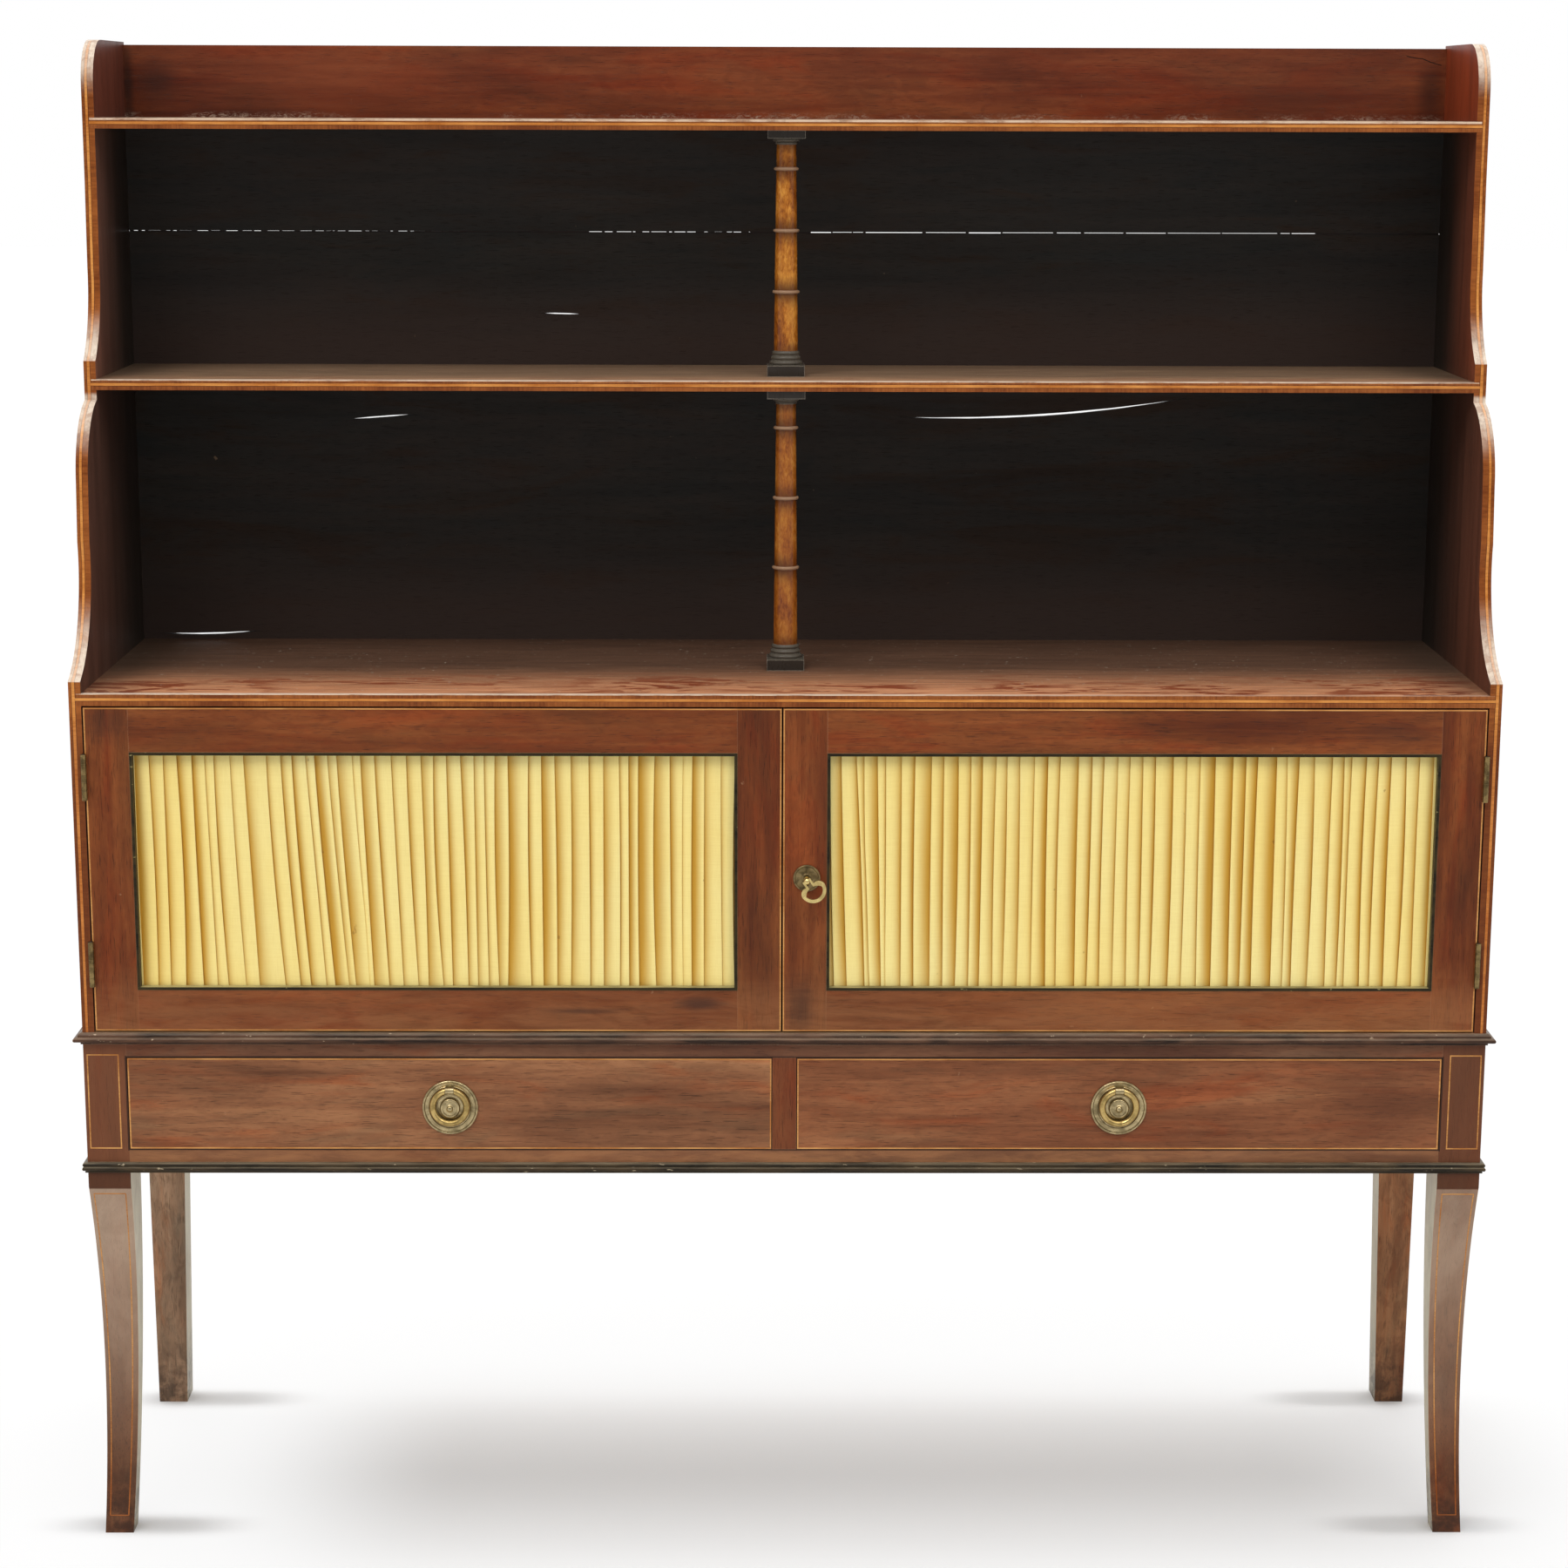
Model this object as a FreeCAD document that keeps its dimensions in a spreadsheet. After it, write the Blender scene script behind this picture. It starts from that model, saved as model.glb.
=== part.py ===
import FreeCAD, Part
import os
import Sketcher
from FreeCAD import Vector

# Regency chiffonier: a stand on sabre legs with two frieze drawers carries a shallow
# case with two silk-panelled doors and open shelves that step back between shaped sides.
# Millimetres. X runs to the right, the front faces -Y, Z is up. The origin is on the
# floor, at the middle of the whole piece's width and depth.

DIMENSIONS = {
    # the whole
    "case_width": 1400,             # over the two sides
    "case_depth": 347,              # front edge of the sides to the back of the back boards
    "foot_reach": 33,               # how far the front feet stand in front of the case
    # heights, from the floor up
    "leg_height": 373,              # floor to the underside of the frieze
    "bottom_rail_height": 24.5,
    "drawer_opening_height": 95.5,
    "top_rail_height": 14,
    "waist_height": 12,             # cupboard bottom and the moulding in front of it
    "door_opening_height": 330,
    "counter_thickness": 12,
    "lower_bay_height": 283.6,
    "shelf_thickness": 10.5,
    "upper_bay_height": 245,
    "gallery_height": 73.4,
    "side_rise": 3,                 # sides above the gallery board
    # boards of the upper case
    "side_thickness": 12,
    "housing_depth": 5,             # shelf ends let into the sides
    "back_thickness": 8,
    "back_rebate_width": 6,
    "upper_back_board_width": 111,
    "shrinkage_gap": 1.3,           # open joint below the upper back board
    # outline of the sides, measured forward from the back boards
    "middle_shelf_depth": 204,
    "top_shelf_depth": 162,
    "lower_neck_depth": 263,        # deepest point of the hollow above the counter
    "top_corner_radius": 45,
    "crease_rise": 12,              # square edge left above the counter
    "lower_hollow_height": 128,
    "lower_hollow_rise": 42,        # where the hollow is cut back the most of its way
    "neck_lean": 5,                 # the neck leans back a little as it rises
    "shoulder_radius": 80,          # rounded shoulder under the middle shelf
    "lower_crease_drop": 9.6,       # square edge left below the middle shelf
    "upper_crease_rise": 17.9,      # square edge left above the middle shelf
    "upper_hollow_height": 90,
    "upper_hollow_rise": 35,
    "upper_hollow_cut": 28,
    "upper_lean": 3.5,
    "upper_straight_height": 85,
    # stand
    "leg_block_width": 42.5,
    "leg_block_depth": 52,
    "leg_block_drop": 15,           # square part of the leg below the frieze
    "leg_middle_depth": 30,         # where the front of the leg curves back the most
    "foot_width": 28.5,
    "foot_depth": 24,
    "foot_inset": 9.5,              # outer face of the foot inside the case side
    "sabre_hollow": 13,             # how far the front of the leg curves back
    "sabre_hollow_height": 230,
    "back_leg_width": 42,
    "back_leg_depth": 35,
    "back_foot_width": 31,
    "back_foot_inset": 3,
    "rail_depth": 50,
    "bottom_rail_depth": 25,
    "side_rail_thickness": 20,
    "back_rail_thickness": 18,
    "divider_width": 24,
    "tenon_length": 20,
    "tenon_thickness": 10,
    "tenon_shoulder": 5,
    "tenon_setback": 8,             # face of the wood to the cheek of its tenon
    "side_tenon_length": 16,
    "side_tenon_shoulder": 15,
    "back_tenon_setback": 4,
    "divider_stub": 8,
    "divider_shoulder": 6,
    "divider_offset": 1,            # divider to the left of the middle
    "runner_width": 38,
    "centre_runner_width": 64,
    "runner_thickness": 13.5,
    "guide_height": 28,
    "kicker_width": 23,
    "stop_length": 30,
    "stop_depth": 4.5,
    "stop_height": 5,
    # mouldings
    "waist_moulding_reach": 8.5,
    "lower_moulding_height": 11,
    "lower_moulding_reach": 5,
    # doors
    "door_thickness": 19,
    "door_gap": 1.4,                # door to the side
    "meeting_gap": 1.5,
    "meeting_offset": 3.7,          # meeting line to the left of the middle
    "stile_width": 43.4,
    "door_top_rail": 44.5,
    "door_bottom_rail": 42,
    "door_lip": 7,                  # wood in front of the panel rebate
    "rebate_width": 8,
    "door_tenon_length": 30,
    "door_tenon_thickness": 5,
    "door_tenon_shoulder": 8,
    "bead_width": 3,
    "bead_stand": 0.4,              # bead in front of the door's face
    "silk_thickness": 4.7,
    "silk_clearance": 0.3,
    "batten_width": 13,
    "batten_thickness": 6,
    # hinges
    "hinge_length": 46,
    "hinge_inset": 46,              # from the door's end to the hinge
    "hinge_leaf_thickness": 1.6,
    "hinge_leaf_gap": 0.4,
    "hinge_leaf_depth": 16,
    "knuckle_radius": 2.8,
    "knuckle_stand": 3.4,           # pin centre in front of the door
    "hinge_pin_radius": 1.2,
    "running_clearance": 0.05,
    # lock, key and escutcheon
    "lock_height": 52,
    "lock_depth": 11,
    "lock_length": 34.5,
    "lock_backset": 23.55,          # meeting edge to the key
    "key_drop": 6.5,                # key below the middle of the door
    "bolt_height": 6.2,
    "bolt_depth": 4.4,
    "bolt_rise": 12.7,              # bolt's middle above the key
    "bolt_throw": 8,
    "bolt_setback": 3,              # bolt behind the lock case's front
    "bolt_play": 0.3,
    "bolt_rest": 0.5,               # bolt's end inside the door's edge
    "bolt_back_gap": 5,             # bolt's other end to the end of the lock case
    "lock_wall": 2,
    "bit_room_depth": 6,
    "stem_socket_depth": 10,
    "keyhole_play": 0.6,
    "keyhole_slot": 3,
    "strike_thickness": 1.2,
    "strike_inset": 2.5,            # strike plate inside the door's front and back
    "strike_margin": 8,             # strike plate above and below the bolt
    "escutcheon_radius": 13.5,
    "stem_radius": 2,
    "stem_stand": 14.5,             # bow's pivot in front of the door
    "bit_drop": 7.5,
    "bit_thickness": 2.2,
    "bit_width": 4,
    "bow_length": 23.5,
    "bow_width": 25.7,
    "bow_thickness": 3,
    "bow_pivot_radius": 1,
    "tang_radius": 3.4,             # ball that the bow hangs from
    "tang_width": 4,                # across the ball's two flats
    "bow_wire": 3.4,
    "key_angle": 35,                # turned from upright, in degrees
    # bolts on the left door
    "door_bolt_radius": 2.5,
    "door_bolt_length": 44,
    "door_bolt_plate_width": 16,
    "door_bolt_plate_height": 40,
    "door_bolt_plate_thickness": 1.5,
    "door_bolt_plate_inset": 6,     # door's end to the plate
    "door_bolt_throw": 10,
    "door_bolt_rest": 1,            # bolt's end behind the door's end
    "door_bolt_staple": 5,
    "door_bolt_strap": 2,           # brass round the bolt in its staples
    "door_bolt_stand": 0.9,         # bolt in front of its plate
    "door_bolt_knob": 7,
    # drawers
    "drawer_gap": 0.8,
    "drawer_clearance": 0.3,
    "guide_clearance": 0.5,
    "drawer_back_gap": 11,          # drawer back to the back rail
    "drawer_front_thickness": 20,
    "drawer_side_thickness": 10,
    "drawer_back_thickness": 9,
    "drawer_bottom_thickness": 7,
    "drawer_bottom_rise": 7,
    "drawer_side_drop": 4.4,        # drawer sides below the top of the front
    "drawer_back_drop": 6,
    "drawer_lap": 6,                # wood left in front of the dovetails
    "tail_width": 18,
    "tail_flare": 2.5,
    # ring pulls
    "pull_height": 44,              # above the bottom of the drawer opening
    "pull_plate_radius": 28,
    "boss_radius": 10.2,
    "ring_radius": 17,
    "ring_wire_radius": 3.2,
    "ring_stand": 6.6,              # ring's middle in front of the drawer
    "ring_pivot_rise": 19,          # pivot above the plate's middle
    "ring_pin_radius": 1.5,
    "lug_width": 8.4,
    "lug_radius": 3.4,
    "lug_let_in": 1.6,              # lug behind the face of the drawer
    "lug_play": 0.4,                # lug to the ring on each side
    "pull_shank_radius": 2.4,
    "pull_shank_past": 8,           # shank inside the drawer
    "pull_nut_width": 11,
    "pull_nut_thickness": 3.5,
    # columns
    "column_block_width": 38,
    "column_cap_height": 8,
    "column_plinth_height": 11,
    "column_base_height": 14.5,
    "column_foot_radius": 12.2,
    "column_neck_radius": 10,
    "column_ring_stand": 2.3,
    "column_ring_height": 3,
    "column_first_ring": 38,        # below the board that the column carries
    "column_cap_ring_height": 6,
    "upper_column_setback": 9,      # column blocks behind the edge of the shelf above
    "lower_column_setback": 5,
}

TAILS = 3                           # dovetails at each drawer corner
KNUCKLES = 5                        # knuckles of each hinge
LOWER_BACK_BOARDS = 5
COLUMN_RINGS = 3
STOP_PLACES = (-0.8, -0.2, 0.2, 0.8)    # of the way from the middle to the legs
# splits in the lower back boards: ends left and right of the middle, height of the left end
# above the case's foot, rise to the right end, sag between the two, opening
SPLITS = (
    (-672, -560, 360, 3, 3.6, 2.6),
    (114, 436, 593.5, 22, 10, 2.6),
    (-467, -390, 589.5, 6, 1, 2.0),
    (-258, -213, 702, -1, 0.9, 1.8),
)
REACH_PAST = 1                      # how far a cutting tool runs past the wood


class Size:
    """A length with its number, and the expression that ties it to the spreadsheet."""

    def __init__(self, number, text):
        self.number = number
        self.text = text

    def __add__(self, other):
        other = size(other)
        return Size(self.number + other.number, f"({self.text} + {other.text})")

    def __sub__(self, other):
        other = size(other)
        return Size(self.number - other.number, f"({self.text} - {other.text})")

    def __mul__(self, other):
        other = size(other)
        return Size(self.number * other.number, f"({self.text} * {other.text})")

    def __truediv__(self, other):
        other = size(other)
        return Size(self.number / other.number, f"({self.text} / {other.text})")

    def __neg__(self):
        return Size(-self.number, f"(0 - {self.text})")

    def __radd__(self, other):
        return size(other) + self

    def __rsub__(self, other):
        return size(other) - self

    def __rmul__(self, other):
        return size(other) * self


def size(value):
    """A plain number as a Size."""
    if isinstance(value, Size):
        return value
    return Size(float(value), f"({float(value)})")


class Via:
    """A point that an arc passes through between two corners of an outline."""

    def __init__(self, u, v):
        self.point = (u, v)


def open_document():
    """The document and the spreadsheet that holds the driving dimensions."""
    document = FreeCAD.newDocument("Chiffonier")
    sheet = document.addObject("Spreadsheet::Sheet", "Sizes")
    for row, (alias, number) in enumerate(DIMENSIONS.items(), start=1):
        sheet.set(f"A{row}", alias)
        sheet.set(f"B{row}", str(number))
        sheet.setAlias(f"B{row}", alias)
    document.recompute()
    return document


class Sheet:
    """The driving dimensions by name."""

    def __init__(self):
        for alias, number in DIMENSIONS.items():
            setattr(self, alias, Size(float(number), f"Sizes.{alias}"))


doc = open_document()
s = Sheet()
nodes = {}


# ---------------------------------------------------------------- small tools

def place(thing, x=0, y=0, z=0):
    """Put a thing's origin at x, y, z."""
    for axis, value in zip("xyz", (x, y, z)):
        thing.setExpression(f"Placement.Base.{axis}", size(value).text)
    return thing


def block(name, x, y, z):
    """A straight-sided piece that spans the given (low, high) pairs."""
    box = doc.addObject("Part::Box", name)
    for side, (low, high) in zip(("Length", "Width", "Height"), (x, y, z)):
        box.setExpression(side, (size(high) - low).text)
    return place(box, x[0], y[0], z[0])


def rod(name, radius, length, x, y, z, axis="z"):
    """A round piece that starts at x, y, z and runs along an axis."""
    turns = {
        "x": FreeCAD.Rotation(Vector(0, 1, 0), 90),
        "y": FreeCAD.Rotation(Vector(1, 0, 0), -90),
        "z": FreeCAD.Rotation(),
    }
    cylinder = doc.addObject("Part::Cylinder", name)
    cylinder.setExpression("Radius", size(radius).text)
    cylinder.setExpression("Height", size(length).text)
    cylinder.Placement = FreeCAD.Placement(Vector(), turns[axis])
    return place(cylinder, x, y, z)


def fuse(name, *pieces):
    """One solid made of pieces that meet."""
    union = doc.addObject("Part::MultiFuse", name)
    union.Shapes = list(pieces)
    union.Refine = True
    return union


def group(name, *pieces):
    """Separate solids that share a node."""
    compound = doc.addObject("Part::Compound", name)
    compound.Links = list(pieces)
    return compound


def cut(name, wood, *tools):
    """Wood with the tools' shapes cut out of it, one after the other."""
    for tool in tools:
        result = doc.addObject("Part::Cut", name)
        result.Base = wood
        result.Tool = tool
        wood = result
    return wood


def common(name, first, second):
    """What two shapes share."""
    result = doc.addObject("Part::Common", name)
    result.Base = first
    result.Tool = second
    return result


def mirrored(name, source):
    """The same piece on the other side of the middle."""
    mirror = doc.addObject("Part::Mirroring", name)
    mirror.Source = source
    mirror.Base = Vector(0, 0, 0)
    mirror.Normal = Vector(1, 0, 0)
    return mirror


def keep(node, thing):
    """Name a finished piece as a node of the assembly."""
    thing.Label = node
    nodes[node] = thing
    return thing


def flat(point):
    """An outline's point as a vector in its sketch."""
    return Vector(size(point[0]).number, size(point[1]).number, 0)


def pin_point(sketch, geometry, end, point):
    """Tie a point of a sketch to its two lengths from the origin."""
    for kind, value in zip(("DistanceX", "DistanceY"), point):
        tie = Sketcher.Constraint(kind, -1, 1, geometry, end, size(value).number)
        index = sketch.addConstraint(tie)
        sketch.setExpression(f"Constraints[{index}]", size(value).text)


def draw(body, role, points):
    """A closed outline of lines and arcs on one of the body's own origin planes."""
    sketch = body.newObject("Sketcher::SketchObject", "Outline")
    plane = next(item for item in body.Origin.OriginFeatures if item.Role == role)
    sketch.AttachmentSupport = [(plane, "")]
    sketch.MapMode = "FlatFace"
    ends = []
    start, via = points[0], None
    for point in points[1:] + points[:1]:
        if isinstance(point, Via):
            via = point
            continue
        first, last = flat(start), flat(point)
        if via is None:
            edge = sketch.addGeometry(Part.LineSegment(first, last))
            ends.append((edge, 1, 2))
        else:
            middle = flat(via.point)
            turns_left = (middle - first).cross(last - middle).z > 0
            arc = Part.Arc(first, middle, last) if turns_left else Part.Arc(last, middle, first)
            edge = sketch.addGeometry(arc)
            ends.append((edge, 1, 2) if turns_left else (edge, 2, 1))
            guide = sketch.addGeometry(Part.Point(middle), True)
            sketch.addConstraint(Sketcher.Constraint("PointOnObject", guide, 1, edge))
            pin_point(sketch, guide, 1, via.point)
        pin_point(sketch, edge, ends[-1][1], start)
        start, via = point, None
    for (edge, _, end), (following, begin, _) in zip(ends, ends[1:] + ends[:1]):
        sketch.addConstraint(Sketcher.Constraint("Coincident", edge, end, following, begin))
    return sketch


def extrusion(name, role, points, length, x=0, y=0, z=0):
    """An outline given a thickness: along +X from YZ, -Y from XZ, +Z from XY."""
    body = doc.addObject("PartDesign::Body", name)
    sketch = draw(body, role, points)
    pad = body.newObject("PartDesign::Pad", "Thickness")
    pad.Profile = sketch
    pad.setExpression("Length", size(length).text)
    sketch.Visibility = False
    return place(body, x, y, z)


def turning(name, role, points, x=0, y=0, z=0):
    """An outline turned round the vertical axis of its sketch."""
    body = doc.addObject("PartDesign::Body", name)
    sketch = draw(body, role, points)
    revolution = body.newObject("PartDesign::Revolution", "Turned")
    revolution.Profile = sketch
    revolution.ReferenceAxis = (sketch, ["V_Axis"])
    revolution.Angle = 360
    sketch.Visibility = False
    return place(body, x, y, z)


# ---------------------------------------------------------------- main lines

half_width = s.case_width / 2
inner_half = half_width - s.side_thickness
back_y = (s.case_depth + s.foot_reach) / 2
front_y = back_y - s.case_depth
boards_y = back_y - s.back_thickness        # front face of the back boards
foot_y = front_y - s.foot_reach

rail_z = s.leg_height
drawer_z = rail_z + s.bottom_rail_height
top_rail_z = drawer_z + s.drawer_opening_height
waist_z = top_rail_z + s.top_rail_height
cupboard_z = waist_z + s.waist_height
counter_z = cupboard_z + s.door_opening_height
lower_bay_z = counter_z + s.counter_thickness
middle_shelf_z = lower_bay_z + s.lower_bay_height
upper_bay_z = middle_shelf_z + s.shelf_thickness
top_shelf_z = upper_bay_z + s.upper_bay_height
gallery_z = top_shelf_z + s.shelf_thickness
gallery_top_z = gallery_z + s.gallery_height
top_z = gallery_top_z + s.side_rise

middle_shelf_y = boards_y - s.middle_shelf_depth
top_shelf_y = boards_y - s.top_shelf_depth
neck_y = boards_y - s.lower_neck_depth

leg_inner = half_width - s.leg_block_width
leg_back_y = front_y + s.leg_block_depth
back_leg_y = back_y - s.back_leg_depth
back_leg_inner = half_width - s.back_leg_width
back_rail_y = back_y - s.back_rail_thickness
divider_x = -s.divider_offset
divider_left = divider_x - s.divider_width / 2
divider_right = divider_x + s.divider_width / 2


# ---------------------------------------------------------------- stand

def frieze():
    """The front rails, the drawer divider between them, and the rails at sides and back."""
    tenon_y = (front_y + s.tenon_setback, front_y + s.tenon_setback + s.tenon_thickness)
    tenon_reach = leg_inner + s.tenon_length
    stub_y = (front_y + s.divider_shoulder, front_y + s.bottom_rail_depth - s.divider_shoulder)
    divider = fuse(
        "Divider",
        block("DividerBoard", (divider_left, divider_right),
              (front_y, front_y + s.rail_depth), (drawer_z, top_rail_z)),
        block("DividerTenon", (divider_left + s.divider_shoulder, divider_right - s.divider_shoulder),
              stub_y, (drawer_z - s.divider_stub, top_rail_z + s.divider_stub)))
    top_rail = fuse(
        "TopRail",
        block("TopRailBoard", (-leg_inner, leg_inner),
              (front_y, front_y + s.rail_depth), (top_rail_z, waist_z)),
        block("TopRailTenon", (-tenon_reach, tenon_reach), tenon_y, (top_rail_z, waist_z)))
    bottom_rail = fuse(
        "BottomRail",
        block("BottomRailBoard", (-leg_inner, leg_inner),
              (front_y, front_y + s.bottom_rail_depth), (rail_z, drawer_z)),
        block("BottomRailTenon", (-tenon_reach, tenon_reach), tenon_y,
              (rail_z + s.tenon_shoulder, drawer_z - s.tenon_shoulder)))
    keep("drawer_divider", divider)
    keep("frieze_rails", group("FriezeRails", cut("TopRailCut", top_rail, divider),
                               cut("BottomRailCut", bottom_rail, divider)))

    side_tenon_low = half_width - s.side_rail_thickness + s.back_tenon_setback
    side_tenon_x = (side_tenon_low, side_tenon_low + s.tenon_thickness)
    side_tenon_z = (rail_z + s.side_tenon_shoulder, waist_z - s.side_tenon_shoulder)
    side_rail = fuse(
        "SideRail",
        block("SideRailBoard", (half_width - s.side_rail_thickness, half_width),
              (leg_back_y, back_leg_y), (rail_z, waist_z)),
        block("SideRailTenon", side_tenon_x,
              (leg_back_y - s.side_tenon_length, back_leg_y + s.side_tenon_length), side_tenon_z))
    left_side_rail = mirrored("LeftSideRail", side_rail)
    keep("side_rails", group("SideRails", left_side_rail, side_rail))

    back_tenon_reach = back_leg_inner + s.side_tenon_length - 1
    back_tenon_low = back_rail_y + s.back_tenon_setback
    back_rail = fuse(
        "BackRail",
        block("BackRailBoard", (-back_leg_inner, back_leg_inner), (back_rail_y, back_y),
              (rail_z, waist_z)),
        block("BackRailTenon", (-back_tenon_reach, back_tenon_reach),
              (back_tenon_low, back_tenon_low + s.tenon_thickness), side_tenon_z))
    keep("back_rail", back_rail)
    return nodes["frieze_rails"], side_rail, back_rail


def front_legs(rails, side_rail):
    """Sabre legs, shaped from the side and from the front, mortised for the rails."""
    sabre_z = rail_z - s.leg_block_drop
    hollow_y = front_y + s.sabre_hollow
    half_height = sabre_z * 0.5
    side_view = extrusion(
        "SabreSideView", "YZ_Plane",
        [(front_y, waist_z), (front_y, sabre_z), Via(hollow_y, s.sabre_hollow_height), (foot_y, 0),
         (foot_y + s.foot_depth, 0), Via(hollow_y + s.leg_middle_depth, s.sabre_hollow_height),
         (leg_back_y, sabre_z), (leg_back_y, waist_z)],
        s.leg_block_width, x=leg_inner)
    foot_outer = half_width - s.foot_inset
    foot_inner = foot_outer - s.foot_width
    front_view = extrusion(
        "SabreFrontView", "XZ_Plane",
        [(leg_inner, waist_z), (leg_inner, sabre_z),
         Via((leg_inner + foot_inner) / 2 - 1, half_height), (foot_inner, 0), (foot_outer, 0),
         Via((half_width + foot_outer) / 2 - 2.3, half_height), (half_width, sabre_z),
         (half_width, waist_z)],
        leg_back_y - foot_y + 2 * REACH_PAST, y=leg_back_y + REACH_PAST)
    blank = common("SabreLeg", side_view, front_view)
    right_leg = cut("FrontLegRight", blank, rails, side_rail)
    keep("front_leg_right", right_leg)
    keep("front_leg_left", mirrored("FrontLegLeft", right_leg))


def back_legs(side_rail, back_rail):
    """Straight back legs that taper below the frieze, mostly on the inside."""
    foot_outer = half_width - s.back_foot_inset
    tapered = extrusion(
        "BackLeg", "XZ_Plane",
        [(back_leg_inner, waist_z), (back_leg_inner, rail_z), (foot_outer - s.back_foot_width, 0),
         (foot_outer, 0), (half_width, rail_z), (half_width, waist_z)],
        s.back_leg_depth, y=back_y)
    right_leg = cut("BackLegRight", tapered, side_rail, back_rail)
    keep("back_leg_right", right_leg)
    keep("back_leg_left", mirrored("BackLegLeft", right_leg))


def drawer_carriage():
    """Runners under the drawers, guides beside them, kickers above and stops in front."""
    along = (front_y + s.bottom_rail_depth, back_rail_y)
    side_x = (leg_inner - s.runner_width, leg_inner)
    centre_x = (divider_x - s.centre_runner_width / 2, divider_x + s.centre_runner_width / 2)
    runner_z = (drawer_z - s.runner_thickness, drawer_z)
    right_runner = block("RightRunner", side_x, along, runner_z)
    keep("drawer_runners", group(
        "Runners", mirrored("LeftRunner", right_runner),
        block("CentreRunner", centre_x, along, runner_z), right_runner))

    guide_z = (drawer_z, drawer_z + s.guide_height)
    guide_inner = leg_inner - s.drawer_gap + s.guide_clearance
    right_guide = block("RightGuide", (guide_inner, half_width - s.side_rail_thickness),
                        (leg_back_y, back_leg_y), guide_z)
    guide_reach = s.drawer_gap - s.guide_clearance
    centre_guide = block("CentreGuide", (divider_left - guide_reach, divider_right + guide_reach),
                         (front_y + s.rail_depth, back_rail_y), guide_z)
    keep("drawer_guides", group("Guides", mirrored("LeftGuide", right_guide), centre_guide, right_guide))

    kicker_z = (top_rail_z, waist_z)
    kicker_along = (front_y + s.rail_depth, back_rail_y)
    right_kicker = block("RightKicker", (leg_inner - s.kicker_width, leg_inner), kicker_along, kicker_z)
    keep("drawer_kickers", group(
        "Kickers", mirrored("LeftKicker", right_kicker),
        block("CentreKicker", centre_x, kicker_along, kicker_z), right_kicker))

    stop_y = front_y + s.drawer_front_thickness + s.drawer_clearance
    stops = []
    for share in STOP_PLACES:
        low = leg_inner * share - s.stop_length / 2
        stops.append(block("Stop", (low, low + s.stop_length), (stop_y, stop_y + s.stop_depth),
                           (drawer_z, drawer_z + s.stop_height)))
    keep("drawer_stops", group("Stops", *stops))


# ---------------------------------------------------------------- mouldings

def moulding(name, section, reach, low_z):
    """A reeded moulding along the front and both sides, mitred at the front corners."""
    height = section[-1][1]
    outer = half_width + reach

    def against(face, way):
        """The section set against a face of the case, standing out to one side of it."""
        points = []
        for point in section:
            out, up = point.point if isinstance(point, Via) else point
            moved = (face + out * way, low_z + up)
            points.append(Via(*moved) if isinstance(point, Via) else moved)
        return points

    depth = height + 2 * REACH_PAST
    front_length = extrusion(f"{name}FrontReeds", "YZ_Plane", against(front_y, -1), outer * 2, x=-outer)
    front_plan = extrusion(
        f"{name}FrontMitres", "XY_Plane",
        [(-half_width, front_y), (-outer, front_y - reach), (outer, front_y - reach),
         (half_width, front_y)],
        depth, z=low_z - REACH_PAST)
    side_length = extrusion(f"{name}SideReeds", "XZ_Plane", against(half_width, 1),
                            back_y - front_y + reach, y=back_y)
    side_plan = extrusion(
        f"{name}SideMitre", "XY_Plane",
        [(half_width, front_y), (outer, front_y - reach), (outer, back_y), (half_width, back_y)],
        depth, z=low_z - REACH_PAST)
    right = common(f"{name}Right", side_length, side_plan)
    front = common(f"{name}Front", front_length, front_plan)
    return group(name, front, mirrored(f"{name}Left", right), right)


def mouldings():
    """The waist moulding and the smaller one along the bottom of the frieze."""
    reach, height = s.waist_moulding_reach, s.waist_height
    waist_section = [
        (0, 0), (reach * 0.22, 0), (reach * 0.22, height * 0.24), (reach * 0.6, height * 0.28),
        Via(reach, height * 0.46), (reach * 0.6, height * 0.62), (reach * 0.54, height * 0.65),
        Via(reach * 0.42, height * 0.87), (reach * 0.16, height), (0, height)]
    keep("waist_moulding", moulding("Waist", waist_section, reach, waist_z))
    reach, height = s.lower_moulding_reach, s.lower_moulding_height
    lower_section = [
        (0, 0), (reach * 0.3, 0), Via(reach * 0.5, height * 0.1),
        (reach * 0.3, height * 0.2), (reach * 0.6, height * 0.22), Via(reach, height * 0.42),
        (reach * 0.6, height * 0.62), Via(reach * 0.92, height * 0.8), (reach * 0.6, height * 0.98),
        (0, height)]
    keep("lower_moulding", moulding("Lower", lower_section, reach, rail_z))


# ---------------------------------------------------------------- upper case

def shelf(name, front, low_z, thickness):
    """A board let into both sides, from its front edge to the back boards."""
    reach = inner_half + s.housing_depth
    return block(name, (-reach, reach), (front, boards_y), (low_z, low_z + thickness))


def shelves():
    """The four boards across the case."""
    boards = [
        keep("cupboard_bottom", shelf("CupboardBottom", front_y, waist_z, s.waist_height)),
        shelf("Counter", front_y, counter_z, s.counter_thickness),
        keep("middle_shelf", shelf("MiddleShelf", middle_shelf_y, middle_shelf_z, s.shelf_thickness)),
        keep("top_shelf", shelf("TopShelf", top_shelf_y, top_shelf_z, s.shelf_thickness)),
    ]
    return boards


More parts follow.
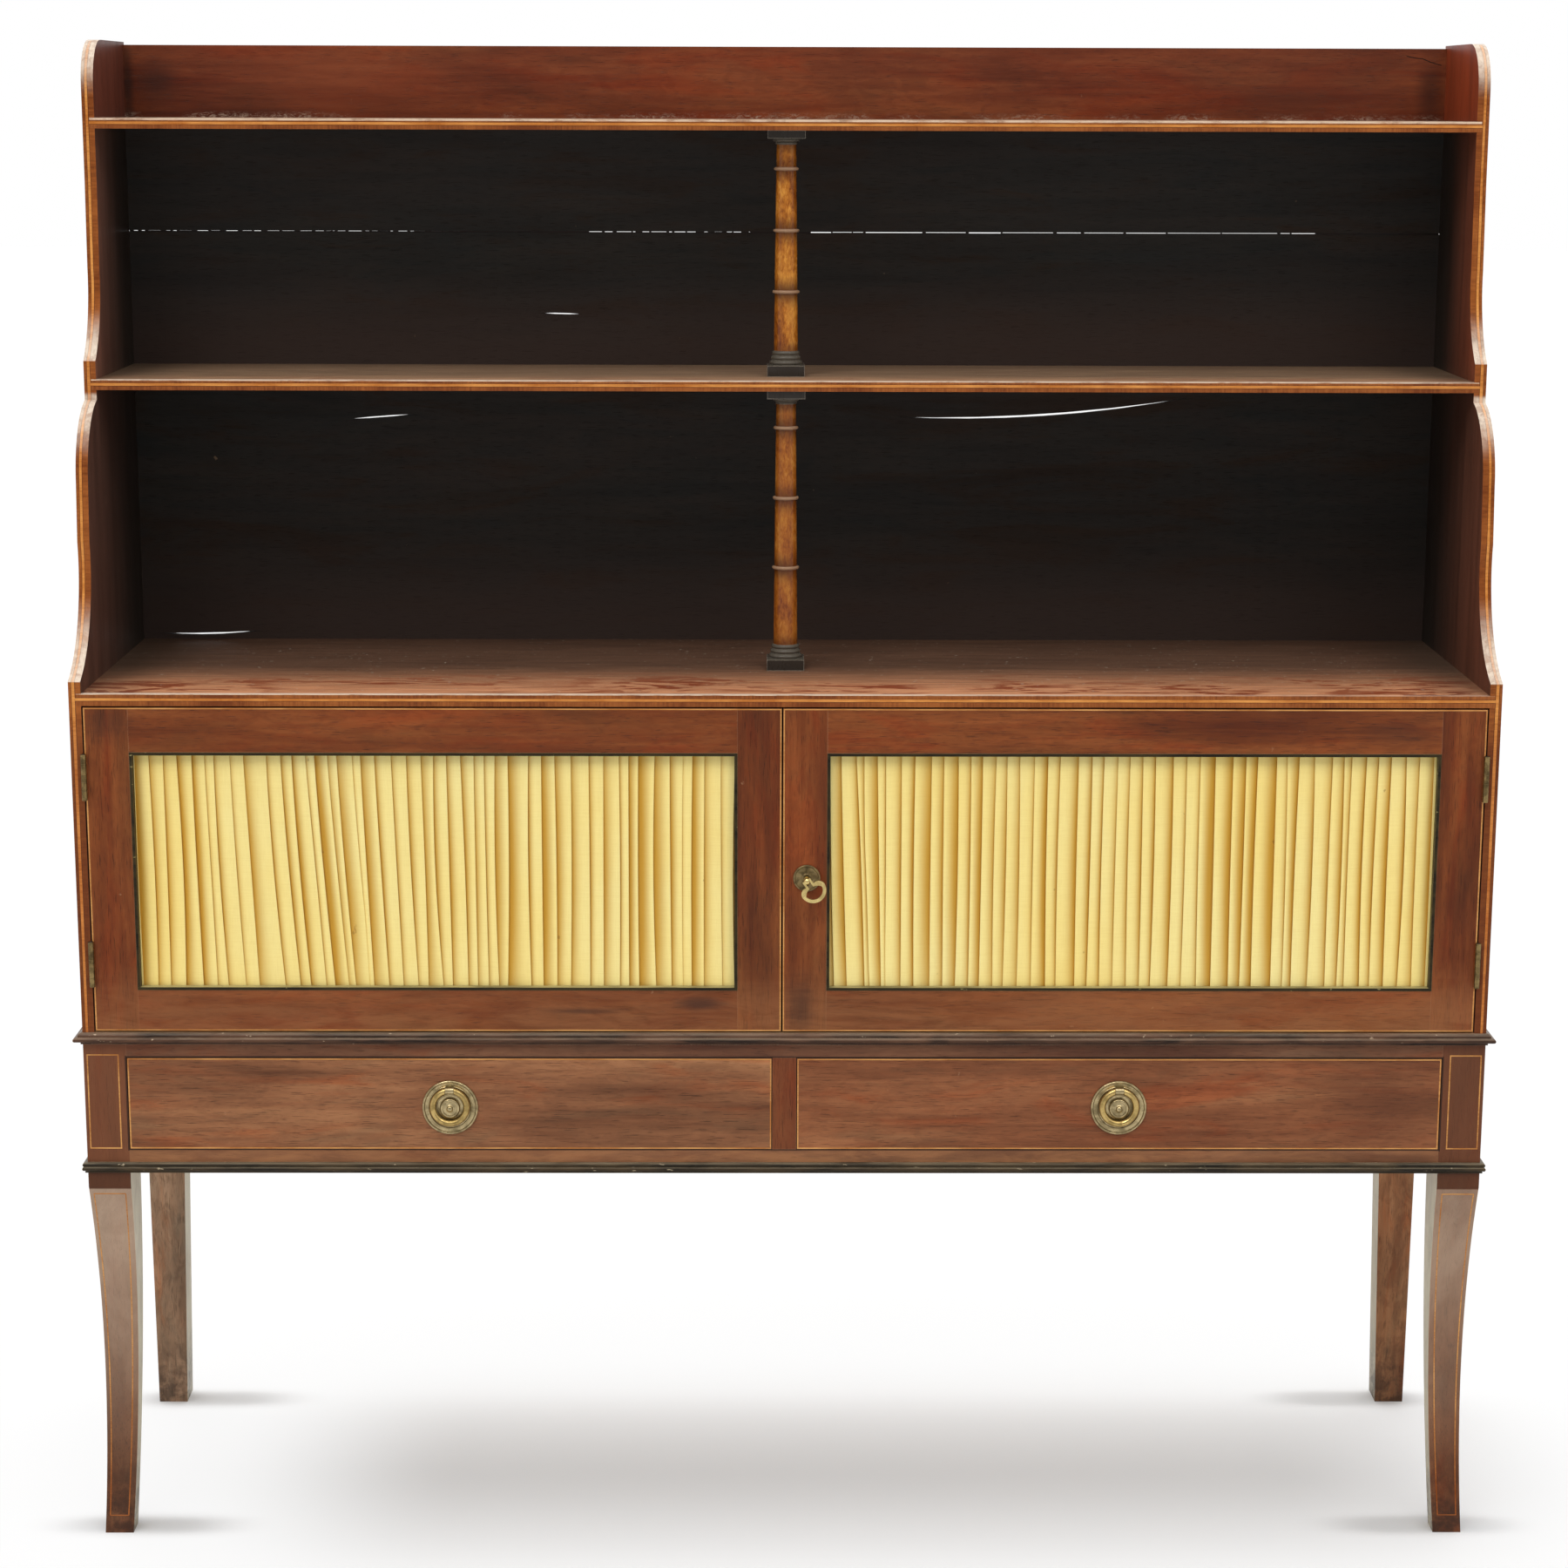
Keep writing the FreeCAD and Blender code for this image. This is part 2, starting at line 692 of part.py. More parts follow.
def side_outline():
    """The edge of a side from the waist up: crease, hollow, shoulder, crease, sweep and round."""
    crease_z = lower_bay_z + s.crease_rise
    shoulder_y = neck_y + s.shoulder_radius              # centre of the shoulder's arc
    square_z = middle_shelf_z - s.lower_crease_drop
    shoulder_z = square_z - s.shoulder_radius * 0.965    # the arc stops short of a quarter circle
    upper_crease_z = upper_bay_z + s.upper_crease_rise
    upper_neck_z = upper_crease_z + s.upper_hollow_height
    radius = s.top_corner_radius
    off_corner = radius * 0.2929                         # middle of a quarter circle, off its corner
    return [
        (back_y, waist_z), (front_y, waist_z), (front_y, crease_z),
        Via(front_y + (neck_y - front_y) * 0.69, crease_z + s.lower_hollow_rise),
        (neck_y - s.neck_lean, crease_z + s.lower_hollow_height),
        (neck_y, shoulder_z),
        Via(shoulder_y - s.shoulder_radius * 0.8, shoulder_z + s.shoulder_radius * 0.6),
        (middle_shelf_y, square_z), (middle_shelf_y, upper_crease_z),
        Via(middle_shelf_y + s.upper_hollow_cut, upper_crease_z + s.upper_hollow_rise),
        (top_shelf_y - s.upper_lean, upper_neck_z),
        (top_shelf_y, upper_neck_z + s.upper_straight_height), (top_shelf_y, top_z - radius),
        Via(top_shelf_y + off_corner, top_z - off_corner), (top_shelf_y + radius, top_z),
        (back_y, top_z)]


def sides(boards, leaves):
    """The shaped sides, housed for the shelves, rebated for the back, recessed for hinges."""
    board = extrusion("Side", "YZ_Plane", side_outline(), s.side_thickness, x=inner_half)
    rebate = block("BackRebate", (inner_half - REACH_PAST, inner_half + s.back_rebate_width),
                   (boards_y, back_y + REACH_PAST), (waist_z - REACH_PAST, gallery_top_z))
    right = cut("SideRight", board, rebate, *boards, leaves)
    keep("side_right", right)
    keep("side_left", mirrored("SideLeft", right))


def back_boards():
    """Horizontal boards in the rebates, with one open joint and a few shrinkage splits."""
    reach = inner_half + s.back_rebate_width
    across = (-reach, reach)
    through = (boards_y, back_y)
    seam_z = top_shelf_z + s.shelf_thickness / 2          # hidden behind the top shelf
    keep("gallery_board", block("GalleryBoard", across, through, (seam_z, gallery_top_z)))
    open_joint_z = seam_z - s.upper_back_board_width
    upper = block("UpperBackBoard", across, through, (open_joint_z, seam_z))
    width = (open_joint_z - s.shrinkage_gap - waist_z) / LOWER_BACK_BOARDS
    boards = [block("BackBoard", across, through, (waist_z + width * row, waist_z + width * (row + 1)))
              for row in range(LOWER_BACK_BOARDS)]

    for x_start, x_end, height, rise, sag, opening in SPLITS:
        row = int(height / width.number)
        low = waist_z + height
        middle, valley = (x_start + x_end) / 2, low + rise / 2 - sag
        crescent = extrusion(
            "Split", "XZ_Plane",
            [(x_start, low), Via(middle, valley), (x_end, low + rise), Via(middle, valley + opening)],
            s.back_thickness + 2 * REACH_PAST, y=back_y + REACH_PAST)
        boards[row] = cut("BackBoardSplit", boards[row], crescent)
    keep("back_boards", group("BackBoards", upper, *boards))


def column(name, low_z, high_z, front_y_of_blocks):
    """A turned column between square blocks, with a stepped base and thin rings."""
    plinth_z = low_z + s.column_plinth_height
    cap_z = high_z - s.column_cap_height
    base_z = plinth_z + s.column_base_height
    step = s.column_base_height / 3
    block_half = s.column_block_width / 2
    neck_z = cap_z - s.column_cap_ring_height
    ring_height = s.column_cap_ring_height / 2
    shaft_rise = neck_z - base_z
    taper = s.column_foot_radius - s.column_neck_radius

    def shaft_radius(height):
        return s.column_foot_radius - taper * (height - base_z) / shaft_rise

    profile = [(0, plinth_z), (block_half * 0.9, plinth_z)]
    for row, share in enumerate((0.89, 0.81, 0.75)):
        low = plinth_z + step * row
        profile += [(block_half * (share - 0.06), low + step * 0.1),
                    Via(block_half * share, low + step * 0.5),
                    (block_half * (share - 0.06), low + step * 0.9)]
    profile.append((s.column_foot_radius, base_z))
    first_ring = high_z - s.column_first_ring
    spacing = (high_z - low_z) / 4
    half_ring = s.column_ring_height / 2
    for row in reversed(range(COLUMN_RINGS)):
        middle = first_ring - spacing * row
        radius = shaft_radius(middle)
        profile += [(radius, middle - half_ring),
                    Via(radius + s.column_ring_stand, middle),
                    (radius, middle + half_ring)]
    cap_radius = block_half * 0.72
    profile += [(s.column_neck_radius, neck_z),
                Via(s.column_neck_radius + 1.4, neck_z + ring_height / 2),
                (s.column_neck_radius, neck_z + ring_height), (cap_radius - 1, neck_z + ring_height),
                Via(cap_radius, cap_z - ring_height / 2), (cap_radius - 1, cap_z), (0, cap_z)]
    middle_y = front_y_of_blocks + block_half
    turned = turning(f"{name}Turned", "XZ_Plane", profile, y=middle_y)
    across = (-block_half, block_half)
    deep = (middle_y - block_half, middle_y + block_half)
    return fuse(name, turned, block(f"{name}Plinth", across, deep, (low_z, plinth_z)),
                block(f"{name}Cap", across, deep, (cap_z, high_z)))


def columns():
    """One column in each open bay, close to the front of the shelf above it."""
    keep("upper_column", column("UpperColumn", upper_bay_z, top_shelf_z,
                                top_shelf_y + s.upper_column_setback))
    keep("lower_column", column("LowerColumn", lower_bay_z, middle_shelf_z,
                                middle_shelf_y + s.lower_column_setback))


# ---------------------------------------------------------------- doors

door_low_z = cupboard_z + s.meeting_gap
door_high_z = counter_z - s.meeting_gap
panel_low_z = door_low_z + s.door_bottom_rail
panel_high_z = door_high_z - s.door_top_rail
door_back_y = front_y + s.door_thickness
lip_y = front_y + s.door_lip
meeting_x = -s.meeting_offset
hinge_x = inner_half - s.door_gap / 2
hinge_y = front_y - s.knuckle_stand
key_x = meeting_x + s.meeting_gap / 2 + s.lock_backset
key_z = (door_low_z + door_high_z) / 2 - s.key_drop
silk_low_y = lip_y + s.silk_clearance
batten_low_y = silk_low_y + s.silk_thickness + s.silk_clearance


def frame_of(low, high):
    """The opening inside a door's stiles and rails."""
    return (low + s.stile_width, high - s.stile_width), (panel_low_z, panel_high_z)


def four_strips(name, across, upright, depth, width):
    """Two long strips and two short ones between them, inside a rectangle."""
    (left, right), (low, high) = across, upright
    return group(
        name,
        block(f"{name}Low", (left, right), depth, (low, low + width)),
        block(f"{name}High", (left, right), depth, (high - width, high)),
        block(f"{name}Left", (left, left + width), depth, (low + width, high - width)),
        block(f"{name}Right", (right - width, right), depth, (low + width, high - width)))


def door(side, low, high, left_cuts, right_cuts):
    """A framed door: stiles, tenoned rails, ebonised bead, silk and its battens."""
    across, upright = frame_of(low, high)
    deep = (front_y, door_back_y)
    name = side.capitalize() + "Door"
    rebate = block(f"{name}Rebate", (across[0] - s.rebate_width, across[1] + s.rebate_width),
                   (lip_y, door_back_y + REACH_PAST),
                   (upright[0] - s.rebate_width, upright[1] + s.rebate_width))
    shoulder = s.door_tenon_shoulder
    tenon_x = (across[0] - s.door_tenon_length, across[1] + s.door_tenon_length)
    tenon_y = (lip_y, lip_y + s.door_tenon_thickness)

    def rail(label, low_z, high_z, tenon_low, tenon_high):
        board = block(f"{name}{label}Board", across, deep, (low_z, high_z))
        tenon = block(f"{name}{label}Tenon", tenon_x, tenon_y, (tenon_low, tenon_high))
        return fuse(f"{name}{label}", cut(f"{name}{label}Rebated", board, rebate), tenon)

    bottom = rail("BottomRail", door_low_z, upright[0], door_low_z + shoulder,
                  upright[0] - s.rebate_width - shoulder / 2)
    top = rail("TopRail", upright[1], door_high_z, upright[1] + s.rebate_width + shoulder / 2,
               door_high_z - shoulder)
    full = (door_low_z, door_high_z)
    left_stile = cut(f"{name}LeftStile", block(f"{name}LeftBoard", (low, across[0]), deep, full),
                     rebate, bottom, top, *left_cuts)
    right_stile = cut(f"{name}RightStile", block(f"{name}RightBoard", (across[1], high), deep, full),
                      rebate, bottom, top, *right_cuts)
    keep(f"{side}_door_stiles", group(f"{name}Stiles", left_stile, right_stile))
    keep(f"{side}_door_rails", group(f"{name}Rails", bottom, top))
    keep(f"{side}_door_bead", four_strips(f"{name}Bead", across, upright,
                                          (front_y - s.bead_stand, lip_y), s.bead_width))
    slack = s.rebate_width - s.silk_clearance
    inside_x = (across[0] - slack, across[1] + slack)
    inside_z = (upright[0] - slack, upright[1] + slack)
    silk_y = (silk_low_y, silk_low_y + s.silk_thickness)
    keep(f"{side}_door_silk", block(f"{name}Silk", inside_x, silk_y, inside_z))
    keep(f"{side}_door_battens", four_strips(
        f"{name}Battens", inside_x, inside_z,
        (batten_low_y, batten_low_y + s.batten_thickness), s.batten_width))


def hinge(name, low_z):
    """A butt hinge at the right: leaf on the case, leaf on the door, and the pin."""
    high_z = low_z + s.hinge_length
    step = s.hinge_length / KNUCKLES
    play = 0.1
    gap = s.hinge_leaf_gap / 2
    plate_y = (hinge_y + s.knuckle_radius + 0.3, front_y + s.hinge_leaf_depth)
    case_x = (hinge_x + gap, hinge_x + gap + s.hinge_leaf_thickness)
    door_x = (hinge_x - gap - s.hinge_leaf_thickness, hinge_x - gap)
    bore = rod(f"{name}Bore", s.hinge_pin_radius + s.running_clearance, s.hinge_length + 2 * REACH_PAST,
               hinge_x, hinge_y, low_z - REACH_PAST)

    def leaf(label, across, rows):
        parts = [block(f"{name}{label}Plate", across, plate_y, (low_z, high_z))]
        for row in rows:
            low, high = low_z + step * row + play, low_z + step * (row + 1) - play
            parts.append(rod(f"{name}{label}Knuckle", s.knuckle_radius, high - low, hinge_x, hinge_y, low))
            parts.append(block(f"{name}{label}Web", across, (hinge_y, plate_y[0] + 0.2), (low, high)))
        return cut(f"{name}{label}Leaf", fuse(f"{name}{label}", *parts), bore)

    case_leaf = leaf("Case", case_x, range(0, KNUCKLES, 2))
    door_leaf = leaf("Door", door_x, range(1, KNUCKLES, 2))
    pin = rod(f"{name}Pin", s.hinge_pin_radius, s.hinge_length, hinge_x, hinge_y, low_z)
    return case_leaf, door_leaf, pin


def hinges():
    """Two hinges to each door, right ones first and the left ones mirrored."""
    lower = hinge("LowerHinge", door_low_z + s.hinge_inset)
    upper = hinge("UpperHinge", door_high_z - s.hinge_inset - s.hinge_length)
    case_right = group("CaseLeavesRight", lower[0], upper[0])
    door_right = group("DoorLeavesRight", lower[1], upper[1])
    pins_right = group("PinsRight", lower[2], upper[2])
    keep("case_hinge_leaves", group("CaseLeaves", mirrored("CaseLeavesLeft", case_right), case_right))
    keep("hinge_pins", group("Pins", mirrored("PinsLeft", pins_right), pins_right))
    keep("right_door_hinge_leaves", door_right)
    keep("left_door_hinge_leaves", mirrored("DoorLeavesLeft", door_right))
    return case_right


# ---------------------------------------------------------------- lock and key

def keyhole(name, near_y, far_y):
    """A round hole for the key's stem with a slot below it for the bit."""
    half_slot = s.keyhole_slot / 2
    return fuse(
        name,
        rod(f"{name}Round", s.stem_radius + s.keyhole_play, far_y - near_y,
            key_x, near_y, key_z, axis="y"),
        block(f"{name}Slot", (key_x - half_slot, key_x + half_slot), (near_y, far_y),
              (key_z - s.bit_drop - s.keyhole_play, key_z)))


def lock():
    """Lock case with its bolt in the right door, escutcheon, and the strike on the left door."""
    edge_x = meeting_x + s.meeting_gap / 2
    case_y = door_back_y - s.lock_depth
    case = block("LockBlock", (edge_x, edge_x + s.lock_length), (case_y, door_back_y),
                 (key_z - s.lock_height / 2, key_z + s.lock_height / 2))
    bolt_y = case_y + s.bolt_setback
    bolt_z = key_z + s.bolt_rise - s.bolt_height / 2
    play = s.bolt_play
    channel = block("BoltChannel",
                    (edge_x - REACH_PAST, edge_x + s.lock_length - s.lock_wall),
                    (bolt_y - play, bolt_y + s.bolt_depth + play),
                    (bolt_z - play, bolt_z + s.bolt_height + play))
    bit_room = rod("BitRoom", s.bit_drop + REACH_PAST, s.bit_room_depth,
                   key_x, case_y + s.lock_wall, key_z, axis="y")
    hole = keyhole("LockKeyhole", case_y - REACH_PAST, case_y + s.lock_wall + REACH_PAST)
    socket = rod("StemSocket", s.stem_radius + s.running_clearance, s.stem_socket_depth,
                 key_x, case_y, key_z, axis="y")
    keep("lock_case", cut("LockCase", case, channel, bit_room, hole, socket))
    keep("lock_bolt", block("LockBolt", (edge_x + s.bolt_rest, edge_x + s.lock_length - s.bolt_back_gap),
                            (bolt_y, bolt_y + s.bolt_depth), (bolt_z, bolt_z + s.bolt_height)))

    stile_hole = keyhole("StileKeyhole", front_y - REACH_PAST, case_y + REACH_PAST)
    rim = s.escutcheon_radius - 2.4
    plate = turning(
        "EscutcheonPlate", "XY_Plane",
        [(0, 0), (s.escutcheon_radius, 0), (s.escutcheon_radius, -1),
         Via(s.escutcheon_radius - 1.2, -2.2), (rim, -1.1),
         (5, -1.1), Via(4.2, -1.9), (3.2, -1.9), (0, -1.9)],
        x=key_x, y=front_y, z=key_z)
    plate_hole = keyhole("PlateKeyhole", front_y - 2 * s.lock_wall, front_y + REACH_PAST)
    keep("escutcheon", cut("Escutcheon", plate, plate_hole))

    strike_x = meeting_x - s.meeting_gap / 2
    strike = block("StrikePlate", (strike_x - s.strike_thickness, strike_x),
                   (front_y + s.strike_inset, door_back_y - s.strike_inset),
                   (bolt_z - s.strike_margin, bolt_z + s.bolt_height + s.strike_margin))
    strike_hole = block("StrikeHole", (strike_x - s.bolt_throw - 3, strike_x + REACH_PAST),
                        (bolt_y - 2 * play, bolt_y + s.bolt_depth + 2 * play),
                        (bolt_z - 2 * play, bolt_z + s.bolt_height + 2 * play))
    keep("strike_plate", cut("Strike", strike, strike_hole))
    return [case, stile_hole], [strike, strike_hole]


def tilt_with_key(thing):
    """Turn a piece of the key about its own axis, to where the key was left."""
    thing.Placement = FreeCAD.Placement(Vector(), FreeCAD.Rotation(Vector(0, -1, 0), s.key_angle.number))
    thing.setExpression("Placement.Rotation.Angle", s.key_angle.text)
    return place(thing, key_x, 0, key_z)


def key():
    """The key: stem, collar, bit and a tang that the folding bow hangs from."""
    pivot_y = front_y - s.stem_stand
    case_y = door_back_y - s.lock_depth
    stem_end = case_y + s.stem_socket_depth - s.keyhole_play
    ball, flat_x = s.tang_radius, s.tang_width / 2
    tang = doc.addObject("Part::Sphere", "TangBall")
    tang.setExpression("Radius", ball.text)
    place(tang, 0, pivot_y, 0)
    beside, above = (pivot_y - ball, pivot_y + ball), (-ball, ball)
    flats = [block("TangFlat", (flat_x, ball), beside, above),
             block("TangFlat", (-ball, -flat_x), beside, above)]
    stem = fuse(
        "KeyStem",
        rod("Stem", s.stem_radius, stem_end - pivot_y, 0, pivot_y, 0, axis="y"),
        cut("Tang", tang, *flats),
        rod("Collar", s.stem_radius + 1.2, 1.6, 0, pivot_y + 6, 0, axis="y"),
        block("Bit", (-s.bit_thickness / 2, s.bit_thickness / 2),
              (case_y + s.bolt_setback, case_y + s.bolt_setback + s.bit_width), (-s.bit_drop, 0)))
    pivot_hole = rod("PivotHole", s.bow_pivot_radius + s.running_clearance, ball * 2, -ball,
                     pivot_y, 0, axis="x")
    keep("key", tilt_with_key(cut("Key", stem, pivot_hole)))

    half, wire = s.bow_width / 2, s.bow_wire
    shoulder_z = -s.bow_length * 0.5
    outer = extrusion(
        "BowOuter", "XZ_Plane",
        [(-4.4, 1.5), (-4.4, -5), Via(-half * 0.84, -s.bow_length * 0.27),
         (-half, shoulder_z), Via(0, -s.bow_length), (half, shoulder_z),
         Via(half * 0.84, -s.bow_length * 0.27), (4.4, -5), (4.4, 1.5)],
        s.bow_thickness, y=pivot_y + s.bow_thickness / 2)
    inner = extrusion(
        "BowInner", "XZ_Plane",
        [(-2.3, 3), (-2.3, -7.5), Via(-(half - wire) * 0.72, -s.bow_length * 0.4),
         (wire - half, shoulder_z - 0.6), Via(0, wire - s.bow_length), (half - wire, shoulder_z - 0.6),
         Via((half - wire) * 0.72, -s.bow_length * 0.4), (2.3, -7.5), (2.3, 3)],
        s.bow_thickness + 2 * REACH_PAST, y=pivot_y + s.bow_thickness / 2 + REACH_PAST)
    pivot = rod("BowPivot", s.bow_pivot_radius, ball * 2, -ball, pivot_y, 0, axis="x")
    keep("key_bow", tilt_with_key(fuse("KeyBow", cut("Bow", outer, inner), pivot)))


def left_door_bolts():
    """Two brass bolts behind the left door's meeting stile, one up and one down."""
    middle_x = meeting_x - s.meeting_gap / 2 - s.stile_width / 2
    radius = s.door_bolt_radius
    play = s.bolt_play
    strap = s.door_bolt_strap
    plate_y = door_back_y + s.door_bolt_plate_thickness
    rod_y = plate_y + radius + s.door_bolt_stand
    half = s.door_bolt_plate_width / 2
    plates = []
    sockets = []
    for label, end_z, way in (("Top", door_high_z, 1), ("Bottom", door_low_z, -1)):
        near_z = end_z - s.door_bolt_plate_inset * way
        far_z = near_z - s.door_bolt_plate_height * way
        low, high = (far_z, near_z) if way > 0 else (near_z, far_z)
        sheet = block(f"{label}BoltSheet", (middle_x - half, middle_x + half),
                      (door_back_y, plate_y), (low, high))
        staple_x = (middle_x - radius - strap, middle_x + radius + strap)
        staple_y = (door_back_y + play, rod_y + radius + strap)
        staples = [block(f"{label}Staple", staple_x, staple_y, (start, start + s.door_bolt_staple))
                   for start in (low + strap, high - strap - s.door_bolt_staple)]
        bore = rod(f"{label}StapleBore", radius + play, s.door_bolt_plate_height + 2 * REACH_PAST,
                   middle_x, rod_y, low - REACH_PAST)
        plates.append(cut(f"{label}BoltPlate", fuse(f"{label}BoltFrame", sheet, *staples), bore))
        tip_z = end_z - s.door_bolt_rest * way
        shaft_z = tip_z - s.door_bolt_length if way > 0 else tip_z
        shaft = rod(f"{label}BoltShaft", radius, s.door_bolt_length, middle_x, rod_y, shaft_z)
        knob = rod(f"{label}BoltKnob", radius * 0.88, s.door_bolt_knob, middle_x, rod_y + 1,
                   (low + high) / 2, axis="y")
        keep(f"left_door_{label.lower()}_bolt", fuse(f"{label}Bolt", shaft, knob))
        reach = s.door_bolt_throw + 4
        socket_z = tip_z - REACH_PAST if way > 0 else tip_z + REACH_PAST - reach
        sockets.append(rod(f"{label}BoltSocket", radius + 2 * play, reach, middle_x, rod_y, socket_z))
    keep("left_door_bolt_plates", group("BoltPlates", *plates))
    return sockets


# ---------------------------------------------------------------- drawers

def drawer_side(name, x_low, low_z, high_z, back_end):
    """A drawer side with dovetails cut on both ends."""
    root_y = front_y + s.drawer_front_thickness
    tip_y = front_y + s.drawer_lap
    back_root_y = back_end - s.drawer_back_thickness
    pitch = (high_z - low_z) / TAILS
    narrow, wide = s.tail_width / 2, s.tail_width / 2 + s.tail_flare
    middles = [low_z + pitch * (row + 0.5) for row in range(TAILS)]
    points = [(root_y, low_z)]
    for middle in middles:
        points += [(root_y, middle - narrow), (tip_y, middle - wide),
                   (tip_y, middle + wide), (root_y, middle + narrow)]
    points += [(root_y, high_z), (back_root_y, high_z)]
    for middle in reversed(middles):
        points += [(back_root_y, middle + narrow), (back_end, middle + wide),
                   (back_end, middle - wide), (back_root_y, middle - narrow)]
    points.append((back_root_y, low_z))
    return extrusion(name, "YZ_Plane", points, s.drawer_side_thickness, x=x_low)


def ring_pull(side, middle_x, middle_z):
    """A ring pull: turned plate with boss, ring on a pin, and the lug's bolt with its nut."""
    name = side.capitalize() + "Pull"
    outer, boss = s.pull_plate_radius, s.boss_radius
    plate = turning(
        f"{name}PlateTurned", "XY_Plane",
        [(0, 0), (outer, 0), (outer, -1), Via(outer - 1.3, -2.5),
         (outer - 2.8, -1.4), (outer - 5.5, -1.4), Via(outer - 6.4, -2.3),
         (outer - 7.4, -1.5), (boss + 4.6, -1.3), Via(boss + 3.7, -2.3),
         (boss + 2.7, -1.4), (boss, -1.4), (boss, -4.4), Via(boss - 1, -5.9),
         (boss - 3, -5.9), (boss - 3.4, -5.3), (4, -5.6),
         (3.2, -6.1), Via(2.3, -7.8), (0, -8.5)],
        x=middle_x, y=front_y, z=middle_z)
    pivot_z = middle_z + s.ring_pivot_rise
    pivot_y = front_y - s.ring_stand
    inside_y = front_y + s.drawer_front_thickness
    shank_hole = rod(f"{name}ShankHole", s.pull_shank_radius + s.running_clearance * 2,
                     inside_y - front_y + s.ring_stand + REACH_PAST,
                     middle_x, front_y - s.ring_stand, pivot_z, axis="y")
    wire = s.ring_wire_radius
    ring_body = doc.addObject("PartDesign::Body", f"{name}RingBody")
    ring_sketch = draw(ring_body, "XY_Plane", [
        (s.ring_radius - wire, 0), Via(s.ring_radius, -wire), (s.ring_radius + wire, 0),
        Via(s.ring_radius, wire)])
    ring_turn = ring_body.newObject("PartDesign::Revolution", "Ring")
    ring_turn.Profile = ring_sketch
    ring_turn.ReferenceAxis = (ring_sketch, ["V_Axis"])
    ring_turn.Angle = 360
    place(ring_body, middle_x, pivot_y, pivot_z - s.ring_radius)
    opening = s.lug_width / 2 + s.lug_play
    gap = block(f"{name}RingGap", (middle_x - opening, middle_x + opening),
                (pivot_y - 2 * wire, pivot_y + 2 * wire), (pivot_z - 2 * wire, pivot_z + 2 * wire))
    pin_half = opening + s.ring_pin_radius
    pin = rod(f"{name}RingPin", s.ring_pin_radius, pin_half * 2,
              middle_x - pin_half, pivot_y, pivot_z, axis="x")
    keep(f"{side}_pull_ring", fuse(f"{name}Ring", cut(f"{name}RingOpen", ring_body, gap), pin))

    lug_half, round_end = s.lug_width / 2, s.lug_radius
    root_y = front_y - s.lug_let_in
    lug = extrusion(
        f"{name}Lug", "YZ_Plane",
        [(root_y, pivot_z - round_end), (pivot_y, pivot_z - round_end), Via(pivot_y - round_end, pivot_z),
         (pivot_y, pivot_z + round_end), (root_y, pivot_z + round_end)],
        s.lug_width, x=middle_x - lug_half)
    keep(f"{side}_pull_plate", cut(f"{name}Plate", plate, shank_hole, lug))
    shaft = rod(f"{name}Shank", s.pull_shank_radius, inside_y + s.pull_shank_past - root_y,
                middle_x, root_y, pivot_z, axis="y")
    eye = rod(f"{name}Eye", s.ring_pin_radius + s.running_clearance, s.lug_width + 2 * REACH_PAST,
              middle_x - lug_half - REACH_PAST, pivot_y, pivot_z, axis="x")
    bolt = cut(f"{name}LugBored", fuse(f"{name}LugBolt", lug, shaft), eye)
    nut_half = s.pull_nut_width / 2
    nut_block = block(f"{name}NutBlock", (middle_x - nut_half, middle_x + nut_half),
                      (inside_y, inside_y + s.pull_nut_thickness),
                      (pivot_z - nut_half, pivot_z + nut_half))
    nut = cut(f"{name}Nut", nut_block, shaft)
    keep(f"{side}_pull_bolt", group(f"{name}Bolt", bolt, nut))
    return shank_hole


def drawer(side, low, high):
    """A drawer: lapped dovetails at the front, through dovetails at the back, grooved bottom."""
    name = side.capitalize() + "Drawer"
    low_z = drawer_z + s.drawer_clearance
    high_z = top_rail_z - s.drawer_gap
    side_top_z = high_z - s.drawer_side_drop
    back_end = back_rail_y - s.drawer_back_gap
    inside_y = front_y + s.drawer_front_thickness
    bottom_z = low_z + s.drawer_bottom_rise
    bottom_top_z = bottom_z + s.drawer_bottom_thickness
    groove = s.drawer_side_thickness / 2
    bottom = block(f"{name}Bottom",
                   (low + s.drawer_side_thickness - groove, high - s.drawer_side_thickness + groove),
                   (inside_y - groove, back_end - 1), (bottom_z, bottom_top_z))
    sides_ = [drawer_side(f"{name}Side", x_low, low_z, side_top_z, back_end)
              for x_low in (low, high - s.drawer_side_thickness)]
    left, right = [cut(f"{name}SideGrooved", board, bottom) for board in sides_]
    back_board = block(f"{name}BackBoard", (low, high), (back_end - s.drawer_back_thickness, back_end),
                       (bottom_top_z, side_top_z - s.drawer_back_drop))
    back = cut(f"{name}Back", back_board, *sides_)
    middle_x = (low + high) / 2
    shank_hole = ring_pull(side, middle_x, drawer_z + s.pull_height)
    front_board = block(f"{name}FrontBoard", (low, high), (front_y, inside_y), (low_z, high_z))
    keep(f"{side}_drawer_front", cut(f"{name}Front", front_board, *sides_, bottom, shank_hole))
    keep(f"{side}_drawer_box", group(f"{name}Box", left, right, back))
    keep(f"{side}_drawer_bottom", bottom)


# ---------------------------------------------------------------- assembly

rails, side_rail, back_rail = frieze()
front_legs(rails, side_rail)
back_legs(side_rail, back_rail)
drawer_carriage()
mouldings()

boards = shelves()
case_leaves = hinges()
sides(boards, case_leaves)
back_boards()
columns()

